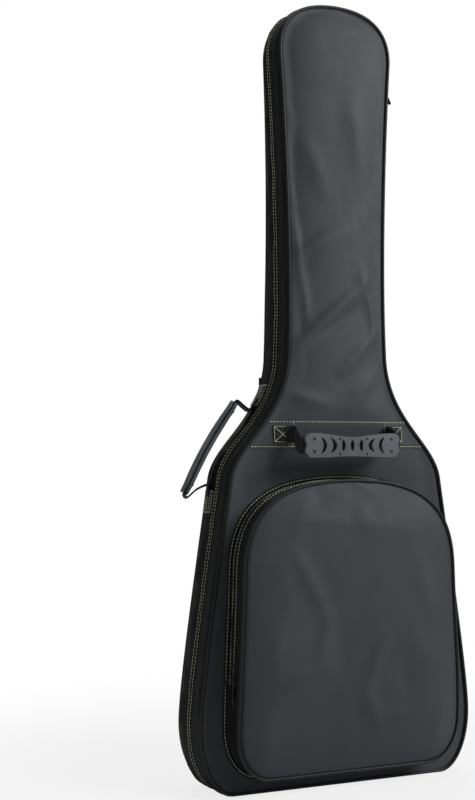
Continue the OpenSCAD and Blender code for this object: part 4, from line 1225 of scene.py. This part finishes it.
# %% Pads, bindings and their stitches
for side, label in ((1, "right"), (-1, "left")):
    body, x, root_y = f"strap_{label}", side * strap_mid, back_face + 0.0042
    bend = ("base", body, (x, root_y, strap_top + 0.001), (x, root_y, strap_top - 0.030))
    on_yoke = [Vector((x, on_back(x, z, 0.0044).y, z)) for z in (strap_top + 0.0300, strap_top + 0.016)]
    below = [Vector((x, strap_at(z)[0] + 0.0008 * (z > strap_top - 0.02), z))
             for z in np.linspace(strap_top - 0.004, strap_end, 60)]
    line = smooth_path(on_yoke + [Vector((x, strap_at(strap_top)[0] + 0.0020, strap_top + 0.003))], 6) + below

    def pad_size(t, line=line, side=side):
        z = line[0].z + (strap_end - line[0].z) * t
        deep = strap_at(z)[1] if z < strap_top else 0.0032
        return strap_width(z) - 0.0016, deep * 0.97 + 0.0005 * noise.noise((z * 45, side * 2.0, 0))

    pad = strip(line, pad_size, RIGHT, 0.004, 28, (0.28, 0.42))
    surface = BVHTree.FromBMesh(pad)

    def on_strap(px, pz, lift, surface=surface):
        hit = surface.ray_cast(Vector((px, 0.3, pz)), FORWARD)[0]
        return (hit if hit else Vector((px, back_face + 0.03, pz))) + BACKWARD * lift

    piece(f"strap_pad_{label}_cloth", pad, strap_cloth, None, replaced=(f"strap_pad_{label}",), blend=bend, soft={},
          fill=0.6, slot="strap_fabric")
    rows = []
    for edge in (-1, 1):
        path = [p + RIGHT * (edge * (strap_width(p.z) / 2 - 0.0040)) for p in line]
        bound = strip(path, lambda t, f=pad_size: (0.0086, f(t)[1] * 0.90 + 0.0012), RIGHT, 0.004, 16, (0.5, 0.5))
        side_name = "outer" if edge == side else "inner"
        piece(f"strap_binding_{label}_{side_name}", bound, binding_cloth, None, blend=bend, slot="strap_fabric")
        for away, lift in ((0.0064, 0.0012), (0.0106, 0.0002)):
            hits = [surface.ray_cast(Vector((p.x + edge * (strap_width(p.z) / 2 - away), 0.3, p.z)), FORWARD)[0]
                    for p in evenly(line, 0.004)]
            rows.append(([hit + BACKWARD * lift for hit in hits if hit], BACKWARD))

    def end_patch(u, v, x=x):
        return x + (0.5 - u) * 0.034, strap_end + 0.005 + v * 0.040, on_strap
    piece(f"strap_patch_{label}", on_face(10, 12, end_patch, (0.034, 0.04), 0.0022), web_cloth, body,
          facing=BACKWARD, slot="webbing")
    sewn(f"stitches_strap_{label}", rows, thread, None, blend=bend)
    cross = box_cross(on_strap, x - 0.0145, x + 0.0145, strap_end + 0.0075, strap_end + 0.0425, 0.0026, BACKWARD)
    sewn(f"stitches_strap_box_{label}", cross, thread_bright, body, pitch=0.0036, length=0.0028, thick=0.0005)
yoke_rows += box_cross(on_back, -0.0075, 0.0075, yoke_low + 0.006, yoke_high - 0.006, 0.0030, BACKWARD)
sewn("stitches_yoke", yoke_rows, thread, "base")

# %% [markdown]
# ## Buckles
# A ladder-lock buckle is moulded in one piece: a frame with bars, and a lift tab bent outwards at
# its foot. The frame is a plate with two slots, made like the grips.

# %% Ladder-lock buckles
buckle_low, buckle_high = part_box("buckle_right")
buckle_wide, buckle_y = buckle_high.x - buckle_low.x, (buckle_low.y + buckle_high.y) / 2
pin_z = joint_at("buckle_right_tilt")[2]
tab_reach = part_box("strap_tab_right")[1].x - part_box("strap_tab_right")[0].x


def shape(corner, steps, *places):
    """A ring with rounded corners. Heights are measured from the buckle's pin."""
    return rounded(corner, [Vector((x, pin_z + z)) for x, z in places], steps)


def buckle_mesh(x):
    w = buckle_wide / 2
    slot = w - 0.005
    made = plate_with([
        shape(0.004, 5, (-w, -0.029), (w, -0.029), (w, 0.0022), (-w, 0.0022)),
        shape(0.0012, 4, (-slot, -0.0113), (slot, -0.0113), (slot, -0.0022), (-slot, -0.0022)),
        shape(0.0012, 4, (-slot, -0.0248), (slot, -0.0248), (slot, -0.0157), (-slot, -0.0157)),
    ], 0.0022, 0.0044, lambda px, pz: 0.0008 * (abs(px) > w - 0.0055))
    tab = plate_with([shape(0.009, 6, (-w + 0.0015, -0.028), (-w + 0.0045, -0.0488), (w - 0.0045, -0.0488),
                            (w - 0.0015, -0.028))], 0.0018, 0.0036)
    for cut in (0.036, 0.042):
        bmesh.ops.bisect_plane(tab, geom=tab.verts[:] + tab.edges[:] + tab.faces[:], plane_co=(0, 0, pin_z - cut),
                               plane_no=(0, 0, 1))
    for vert in tab.verts:
        vert.co.y -= 0.2 * max(0.0, pin_z - 0.034 - vert.co.z)
    copy_into(made, tab)
    for i in range(4):
        bar = bmesh.new()
        bmesh.ops.create_cone(bar, cap_ends=True, segments=8, radius1=0.0007, radius2=0.0007, depth=buckle_wide * 0.5)
        at = Matrix.Translation((0, -0.0022 - 0.0008 * i, pin_z - 0.0370 - 0.0028 * i))
        bmesh.ops.transform(bar, verts=bar.verts, matrix=at @ Matrix.Rotation(math.radians(90), 4, "Y"))
        copy_into(made, bar)
    # The plate is drawn facing -Y, and the buckle's outside faces +Y.
    turned = Matrix.Translation((x, buckle_y, 0)) @ Matrix.Rotation(math.pi, 4, "Z")
    bmesh.ops.transform(made, verts=made.verts, matrix=turned)
    return made


def copy_into(made, other):
    mesh = bpy.data.meshes.new("part")
    other.to_mesh(mesh)
    other.free()
    made.from_mesh(mesh)
    bpy.data.meshes.remove(mesh)


loop_radius = 0.0037
around_pin = [(loop_radius * math.cos(a), pin_z + loop_radius * math.sin(a)) for a in np.linspace(0, -math.pi, 13)]
tab_loop = [(loop_radius, strap_end + 0.004), (loop_radius, pin_z + 0.006), *around_pin,
            (-loop_radius, pin_z + 0.006), (-loop_radius, strap_end + 0.004)]
threaded = [(-0.0012, -0.0400), (-0.0026, -0.0350), (-0.0034, -0.0290), (-0.0010, -0.0205), (0.0036, -0.0140),
            (0.0012, -0.0068), (-0.0036, -0.0090), (-0.0046, -0.0160), (-0.0050, -0.0215)]
for side, label in ((1, "right"), (-1, "left")):
    x = side * strap_mid
    piece(f"buckle_{label}_moulding", buckle_mesh(x), acetal, f"buckle_{label}", replaced=(f"buckle_{label}",),
          flat=True, slot="buckle_plastic")
    loop = [Vector((x, buckle_y + y, z)) for y, z in tab_loop]
    piece(f"strap_tab_{label}_webbing", strip(loop, (tab_reach * 0.97, 0.0022), RIGHT, 0.0018, 16), web_cloth,
          f"strap_{label}", replaced=(f"strap_tab_{label}",), slot="webbing")
    through = smooth_path([(x, buckle_y + y, pin_z + z) for y, z in threaded], 6)
    piece(f"buckle_{label}_webbing", strip(through, (0.0245, 0.0018), RIGHT, 0.0018, 14), web_cloth,
          f"buckle_{label}", slot="webbing")

# %% [markdown]
# ## Wings, slack webbing and the grab handle
# A cloth wing at each lower corner gathers into webbing, which hangs down, turns, and rises to the
# buckle. That slack lets the strap swing.

# %% Wings and slack
slack_low, slack_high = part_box("slack_webbing_right")
slack_wide, slack_y = slack_high.x - slack_low.x, slack_low.y + 0.0012
slack_r = (slack_high.y - slack_low.y - 0.0024) / 2
turn_z = slack_low.z + 0.0012 + slack_r
wing_tip, wing_middle, wing_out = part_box("strap_wing_right")[0].x, slack_high.z - 0.0125, 0.1972


def wing_lift(px, pz, lift):
    """The back's surface, raised by a fold that crosses the wing."""
    fold_height = 0.0022 * math.exp(-((abs(px) - 0.115 - 0.5 * (pz - wing_middle)) / 0.014) ** 2)
    return on_back(px, pz, lift + (fold_height if lift > 0.001 else 0.0))


round_turn = [(slack_y + slack_r - slack_r * math.cos(a), turn_z - slack_r * math.sin(a))
              for a in np.linspace(0, math.pi, 7)]
hang = [(slack_y, wing_middle + 0.0115), (slack_y, wing_middle), (slack_y + 0.0006, 0.060), (slack_y, 0.030),
        *round_turn, (buckle_y + 0.0004, 0.050), (buckle_y, 0.085), (buckle_y - 0.0002, pin_z - 0.0495)]
for side, label in ((1, "right"), (-1, "left")):
    def wing_at(u, v, side=side):
        x = wing_tip + (wing_out - wing_tip) * u
        t = clamped((x - 0.075) / 0.12)
        low, high = wing_middle - 0.0125 - 0.0150 * t ** 1.2, wing_middle + 0.0125 + 0.0022 * t
        z = low + (high - low) * v
        return side * min(x, half_width(bag_side, z) - 0.0048), z, wing_lift
    piece(f"wing_{label}", on_face(44, 14, wing_at, (0.16, 0.04), 0.0030, 0.10), strap_cloth, "base",
          replaced=(f"strap_wing_{label}",), facing=BACKWARD, slot="strap_fabric")
    wing_rows = []
    for v in (0.07, 0.93):
        line = [wing_at(u, v) for u in np.linspace(0.20, 0.97, 40)]
        wing_rows.append(([wing_lift(px, pz, 0.0032) for px, pz, _ in line], BACKWARD))
    sewn(f"stitches_wing_{label}", wing_rows, thread, "base")
    x = side * strap_mid
    slack = strip(smooth_path([(x, y, z) for y, z in hang], 8), (slack_wide * 0.98, 0.0021), RIGHT, 0.0025, 16)
    piece(f"slack_webbing_{label}_strip", slack, web_cloth, None, replaced=(f"slack_webbing_{label}",), slot="webbing",
          blend=("base", f"strap_{label}", (x, slack_y + 0.002, 0.05), (x, buckle_y - 0.002, 0.05)))

# %% [markdown]
# The grab handle is one length of webbing folded to a flat U. The folds at its corners are mitred:
# the lower run lies over the legs and ends in a slanted edge.

# %% Grab handle
_, grab_y, grab_z = joint_at("grab_handle_swing")
tilt = Matrix.Translation((0, grab_y, grab_z)) @ Matrix.Rotation(math.radians(16), 4, "X")
drop = 0.070
leg_middle = leg_out - leg_wide / 2
parts = bmesh.new()
for leg_x in (-leg_middle, leg_middle):
    leg_line = [Vector((leg_x, y, z)) for y, z in ((0.0004, 0.0), (0.0009, -drop * 0.5), (-0.0002, -drop + 0.0012))]
    copy_into(parts, strip(leg_line, (leg_wide - 0.0005, 0.0021), RIGHT, 0.003, 14))
lower_run = strip([Vector((x, 0.0021, -drop + leg_wide / 2)) for x in (-leg_out, leg_out)],
                  (leg_wide - 0.0005, 0.0020), UP, 0.0025, 14)
for vert in lower_run.verts:
    limit = leg_out - (vert.co.z + drop) * 0.94
    vert.co.x = max(-limit, min(limit, vert.co.x))
    vert.co.z -= 0.0022 * (1 - (vert.co.x / leg_out) ** 2)
copy_into(parts, lower_run)
bmesh.ops.transform(parts, verts=parts.verts, matrix=tilt)
piece("grab_handle_webbing", parts, web_cloth, "grab_handle", replaced=("grab_handle",), slot="webbing")
for leg_x, label in ((-leg_middle, "left"), (leg_middle, "right")):
    root = smooth_path([
        on_back(leg_x, grab_z + 0.0125, 0.0022), on_back(leg_x, grab_z + 0.0065, 0.0028),
        (leg_x, grab_y + 0.0004, grab_z + 0.0030), (leg_x, grab_y + 0.0006, grab_z - 0.0010),
        tilt @ Vector((leg_x, 0.0004, -0.0040)),
    ], 6)
    piece(f"grab_root_{label}", strip(root, (leg_wide - 0.0003, 0.0023), RIGHT, 0.0015, 14), web_cloth, None,
          slot="webbing",
          blend=("base", "grab_handle", (leg_x, grab_y, grab_z + 0.003), (leg_x, grab_y, grab_z - 0.003)))

# %% [markdown]
# The cross seams of the gusset, where its hinge web meets the zipped part, are stitched too.

# %% Stitches of the cross seams
seam_rows = []
for middle in (hinged[0][2], hinged[-1][2]):
    for away in (-0.0095, 0.0095):
        p, n, s = min(bag_loop, key=lambda st: abs(st[2] - middle - away))
        points = []
        for y in np.linspace(base_edge + 0.003, back_in - 0.003, 16):
            t = (y - base_edge) / (back_in - base_edge)
            q = p + n * (0.0008 + 0.0026 * math.sin(math.pi * t) ** 0.8)
            points.append(lean_back(Vector((q.x, y, q.y))))
        seam_rows.append((points, Vector((n.x, 0, n.y))))
sewn("stitches_cross_seams", seam_rows, thread, "base")

# %% [markdown]
# ## Sliders and pulls
# Each slider is a crowned plate over the zip with a bridge that holds the pull. The pull is a
# loop of wire cast in one piece with a slim shank that swells to a rounded end.

# %% Sliders and their pulls
def tube(path, radius, closed=False, step=0.0008, sides=8):
    """A round bar along a path in its own plane."""
    points = evenly(path + path[:1] if closed else path, step)
    if closed:
        points = points[:-1]
    count = len(points)
    middle = sum(points, Vector()) / count
    normal = (points[0] - middle).cross(points[count // 3] - middle).normalized()

    def place(u, v):
        i = round(v * (count if closed else count - 1))
        ahead, behind = ((i + 1) % count, i - 1) if closed else (min(i + 1, count - 1), max(i - 1, 0))
        side = normal.cross((points[ahead] - points[behind]).normalized())
        return (points[i % count] + side * (radius * math.cos(math.tau * (u % 1)))
                + normal * (radius * math.sin(math.tau * (u % 1))))

    made = laid(sides, count if closed else count - 1, place, (math.tau * radius, count * step))
    return made if closed else caps(made)


def slider_mesh():
    """Drawn with its length along Z, its width along Y and its outside towards +X."""
    outline = ((-0.0050, -0.0034), (-0.0034, -0.0060), (0.0034, -0.0060), (0.0050, -0.0034), (0.0044, 0.0054),
               (-0.0044, 0.0054))
    made = plate_with([rounded(0.0028, [Vector(p) for p in outline], 4)], 0.0, 0.0016,
                      lambda x, z: 0.0008 * (1 - (x / 0.005) ** 2))
    bmesh.ops.transform(made, verts=made.verts, matrix=Matrix.Rotation(math.radians(90), 4, "Z"))
    arch = ((0.0012, -0.0042), (0.0042, -0.0030), (0.0050, 0.0), (0.0042, 0.0030), (0.0012, 0.0042))
    for side in (-1, 1):
        copy_into(made, tube(smooth_path([(x, side * 0.0021, z) for x, z in arch], 5), 0.0006))
    return made


def pull_mesh(lean_out):
    """Hangs down from the origin, with its width along Y."""
    loop = [Vector((0, y, z)) for y, z in ((0.0026, 0.0010), (-0.0026, 0.0010), (-0.0031, -0.0050),
                                           (-0.0012, -0.0086), (0.0012, -0.0086), (0.0031, -0.0050))]
    made = tube(rounded(0.0016, loop, 4), 0.00062, closed=True)
    sizes = np.array(((0, 0.0026, 0.0013), (0.25, 0.0030, 0.0014), (0.5, 0.0044, 0.0018), (0.72, 0.0060, 0.0022),
                      (0.92, 0.0064, 0.0023), (1, 0.0046, 0.0017)))
    shank = strip([Vector((0, 0, -0.0080)), Vector((0, 0, -0.0318))],
                  lambda t: [float(np.interp(t, sizes[:, 0], sizes[:, i])) for i in (1, 2)], BACKWARD, 0.0012, 16,
                  (0.6, 0.6))
    copy_into(made, shank)
    bmesh.ops.transform(made, verts=made.verts, matrix=Matrix.Rotation(-lean_out, 4, "Y"))
    return made


for name, stations, sign in (("zip", bag_loop, 1), ("pocket", pocket_loop, -1)):
    for place_name in ("upper", "lower"):
        slider, pull = f"{name}_slider_{place_name}", f"{name}_pull_{place_name}"
        pin = Vector(joint_at(pull + "_swing"))
        low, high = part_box(slider)
        near = min((s for s in stations if s[0].x * sign > 0), key=lambda s: abs(s[0].y - (low.z + high.z) / 2))
        outward = Vector((near[1].x, 0, near[1].y)).normalized()
        along_zip = BACKWARD.cross(outward)
        if along_zip.z < 0:
            along_zip = -along_zip
        across_zip = along_zip.cross(outward)
        turned = placed(outward, across_zip, along_zip, pin - outward * 0.0052)
        body = slider_mesh()
        bmesh.ops.transform(body, verts=body.verts, matrix=turned)
        piece(slider + "_casting", body, enamel, slider, replaced=(slider,), slot="zip_metal")
        hanging_low, hanging_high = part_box(pull)
        reach = max(abs(hanging_low.x - pin.x), abs(hanging_high.x - pin.x)) - 0.0018
        lean_out = math.asin(clamped(reach / 0.032)) + 0.12 if place_name == "upper" else 0.0
        hanging = pull_mesh(sign * lean_out)
        bmesh.ops.translate(hanging, verts=hanging.verts, vec=pin)
        piece(pull + "_casting", hanging, enamel, pull, replaced=(pull,), slot="zip_metal")
        print(slider, "pull leans out", round(math.degrees(lean_out), 1), "degrees")

# %% [markdown]
# ## Inside
# The cavity is lined with taffeta over the foam. A padded rest holds the guitar's neck with a
# strap over it, and a pad at the bottom takes the weight of the body.

# %% Linings of the faces
rear_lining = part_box("back_lining")[1].y - 0.0001
fore_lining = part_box("front_lining")[0].y


def soft_cloth(x, z, d, seed):
    return (crown(d, 0.05, 0.0016) + min(1.0, d / 0.03) * 0.0022
            * (noise.noise((x * 18, z * 7, seed)) + 0.5 * noise.noise((x * 42, z * 16, seed + 2))))


def back_lining_at(x, z, d):
    return lean_back(Vector((x, rear_lining - soft_cloth(x, z, d, 21.0) - 0.0002, z))) - Vector((0, 0.0006, 0))


def front_lining_at(x, z, d):
    return Vector((x, fore_lining + soft_cloth(x, z, d, 33.0) + 0.0002, z))


for name, lay, body, deep in (("back_lining", back_lining_at, "base", 1),
                              ("front_lining", front_lining_at, "cover", -1)):
    piece(name + "_taffeta", panel(bag_side, 0.0112, 40, 130, lay, 0.0012, deep), lining_cloth, body,
          replaced=(name,), soft={}, fill=0.5, slot="lining")

# %% Neck rest, its strap and the end pad
rest_low, rest_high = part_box("neck_rest")
rest_z = (rest_low.z + rest_high.z) / 2
shift = Matrix.Translation((0, (rest_low.y + rest_high.y) / 2, rest_z)) @ Matrix.Rotation(math.radians(4.2), 4, "X")


def cushion(wide, deep, high, dip, steps=(28, 20)):
    """A closed cushion, sewn round its waist, with a trough along Z in its front."""
    def place(u, v):
        a, b = math.tau * (u % 1.0), math.pi * (v - 0.5)
        c, s = math.cos(a), math.sin(a)
        ring = abs(math.cos(b)) ** 0.28 if 0 < v < 1 else 0.0
        x = wide / 2 * math.copysign(abs(c) ** 0.35, c) * ring
        y = deep / 2 * math.copysign(abs(s) ** 0.55, s) * ring
        z = high / 2 * math.copysign(abs(math.sin(b)) ** 0.45, math.sin(b))
        if y < 0:
            y *= 1 - dip * math.exp(-(x / (wide * 0.24)) ** 2)
        return Vector((x, y, z))

    made = laid(steps[0] * 2, steps[1] * 2, place, (2 * wide, high))
    bmesh.ops.remove_doubles(made, verts=made.verts, dist=1e-5)
    return made


rest_made = cushion(0.070, 0.0178, 0.0795, 0.45)
bmesh.ops.transform(rest_made, verts=rest_made.verts, matrix=shift)
piece("neck_rest_cushion", rest_made, lining_cloth, "base", replaced=("neck_rest",), soft={}, fill=0.8,
      slot="foam")
over = [(-0.0446, 0.0086), (-0.0420, 0.0084), (-0.0366, 0.0052), (-0.0352, -0.0040), (-0.0300, -0.0102),
        (-0.0120, -0.0106)]
over = [(x, y, 0) for x, y in over + [(0, -0.0107)] + [(-x, y) for x, y in reversed(over)]]
strap_over = strip(smooth_path(over, 5), (0.0368, 0.0019), UP, 0.002, 16)
bmesh.ops.transform(strap_over, verts=strap_over.verts, matrix=shift)
piece("neck_strap_webbing", strap_over, web_cloth, "base", replaced=("neck_strap",), slot="webbing")
pad_low, pad_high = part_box("end_pad")
pad = cushion(pad_high.x - pad_low.x, pad_high.y - pad_low.y, pad_high.z - pad_low.z, 0.0, (30, 14))
bmesh.ops.translate(pad, verts=pad.verts, vec=(pad_low + pad_high) / 2)
piece("end_pad_cushion", pad, lining_cloth, "base", replaced=("end_pad",), soft={}, fill=0.8, slot="foam")

# %% [markdown]
# ## Stage
# The bag stands on a plain white floor and is seen from a little below its middle and to the
# left, with one broad soft light on the right and a weaker one on the left that draws the cords.

# %% Floor, world and lamps
floor_bm = bmesh.new()
bmesh.ops.create_grid(floor_bm, x_segments=1, y_segments=1, size=6.0)
floor_mesh = bpy.data.meshes.new("floor")
floor_bm.to_mesh(floor_mesh)
floor_bm.free()
floor = bpy.data.objects.new("floor", floor_mesh)
bpy.context.scene.collection.objects.link(floor)


def seen_by(tree):
    """1 for a ray from the camera, and 0 for the light on the cloth and for its sheen."""
    return node(tree, "LightPath").outputs["Is Camera Ray"]


paper = bpy.data.materials.new("studio_white_paper")
paper.use_nodes = True
tree = paper.node_tree
sheen_free = tree.nodes["Principled BSDF"]
sheen_free.inputs["Base Color"].default_value = colour("dcdcdc")
sheen_free.inputs["Roughness"].default_value = 0.9
glow = node(tree, "Emission", {"Color": colour("ffffff"), "Strength": 1.0})
path = node(tree, "LightPath")
far = node(tree, "VectorMath", {0: node(tree, "TexCoord").outputs["Object"]}, operation="LENGTH")
whiter = node(tree, "MapRange", {"Value": far.outputs["Value"], "From Min": 0.25, "From Max": 0.9, "To Min": 0.80,
                                 "To Max": 1.0}, interpolation_type="SMOOTHSTEP")
share = node(tree, "Math", {0: path.outputs["Is Camera Ray"], 1: whiter.outputs["Result"]}, operation="MULTIPLY")
blend_floor = node(tree, "MixShader", {0: share.outputs[0], 1: sheen_free.outputs[0], 2: glow.outputs[0]})
tree.links.new(blend_floor.outputs[0], tree.nodes["Material Output"].inputs["Surface"])
floor_mesh.materials.append(paper)

world = bpy.data.worlds.new("studio")
bpy.context.scene.world = world
world.use_nodes = True
tree = world.node_tree
white = node(tree, "Background", {"Color": colour("ffffff"), "Strength": 1.0})
dim = node(tree, "Background", {"Color": colour("f2f4f8"), "Strength": 0.13})
both = node(tree, "MixShader", {0: seen_by(tree), 1: dim.outputs[0], 2: white.outputs[0]})
tree.links.new(both.outputs[0], tree.nodes["World Output"].inputs["Surface"])


def lamp(name, place, target, size, power, tint="ffffff"):
    data = bpy.data.lights.new(name, "AREA")
    data.shape, data.size, data.size_y = "RECTANGLE", size[0], size[1]
    data.energy = power
    data.color = colour(tint)[:3]
    obj = bpy.data.objects.new(name, data)
    bpy.context.scene.collection.objects.link(obj)
    towards = Vector(target) - Vector(place)
    obj.matrix_world = Matrix.Translation(place) @ towards.to_track_quat("-Z", "Y").to_matrix().to_4x4()
    return obj


lamp("key", (1.6, -1.7, 1.8), (0, 0, 0.6), (1.2, 1.6), 46, "fbfcff")
lamp("fill", (-2.4, -0.7, 1.2), (0, 0, 0.6), (0.5, 1.6), 1.6, "f4f8ff")
lamp("top", (0.2, 0.4, 2.6), (0, 0, 0.6), (1.6, 1.2), 14)
lamp("rear", (0.9, 2.2, 1.4), (0, 0, 0.5), (1.4, 1.6), 22)

# %% [markdown]
# The lens, its place and its aim follow from the view: the bag is turned 22.7 degrees, and the
# camera stands 1.6 metres away, a little below the middle, tilted up by under three degrees.

# %% Camera
turn, roll, pitch = math.radians(22.7), math.radians(-0.2), math.radians(-2.66)
distance, aside, level = 1.579, 0.147, 0.435
across = Vector((math.cos(turn), -math.sin(turn), 0))
away = Vector((math.sin(turn), math.cos(turn), 0))
ahead = math.cos(pitch) * away - math.sin(pitch) * UP
lifted = math.cos(pitch) * UP + math.sin(pitch) * away
right = math.cos(roll) * across + math.sin(roll) * lifted
above = math.cos(roll) * lifted - math.sin(roll) * across
lens = bpy.data.cameras.new("studio_camera")
lens.sensor_width = 36
lens.lens = 54.7
camera = bpy.data.objects.new("studio_camera", lens)
bpy.context.scene.collection.objects.link(camera)
place = Vector((-aside, front_face, level)) - distance * away
camera.matrix_world = placed(right, above, -ahead, place)
bpy.context.scene.camera = camera
bpy.context.scene.view_settings.view_transform = "Standard"
print("camera at", [round(v, 3) for v in place])

# %% [markdown]
# ## Last step
# The scene is brought up to date, so that each piece stands where it was made. The dressed bag
# has to stay in the box of its solids, apart from the little that cloth may stand proud.

# %% Update the scene
bpy.context.view_layer.update()
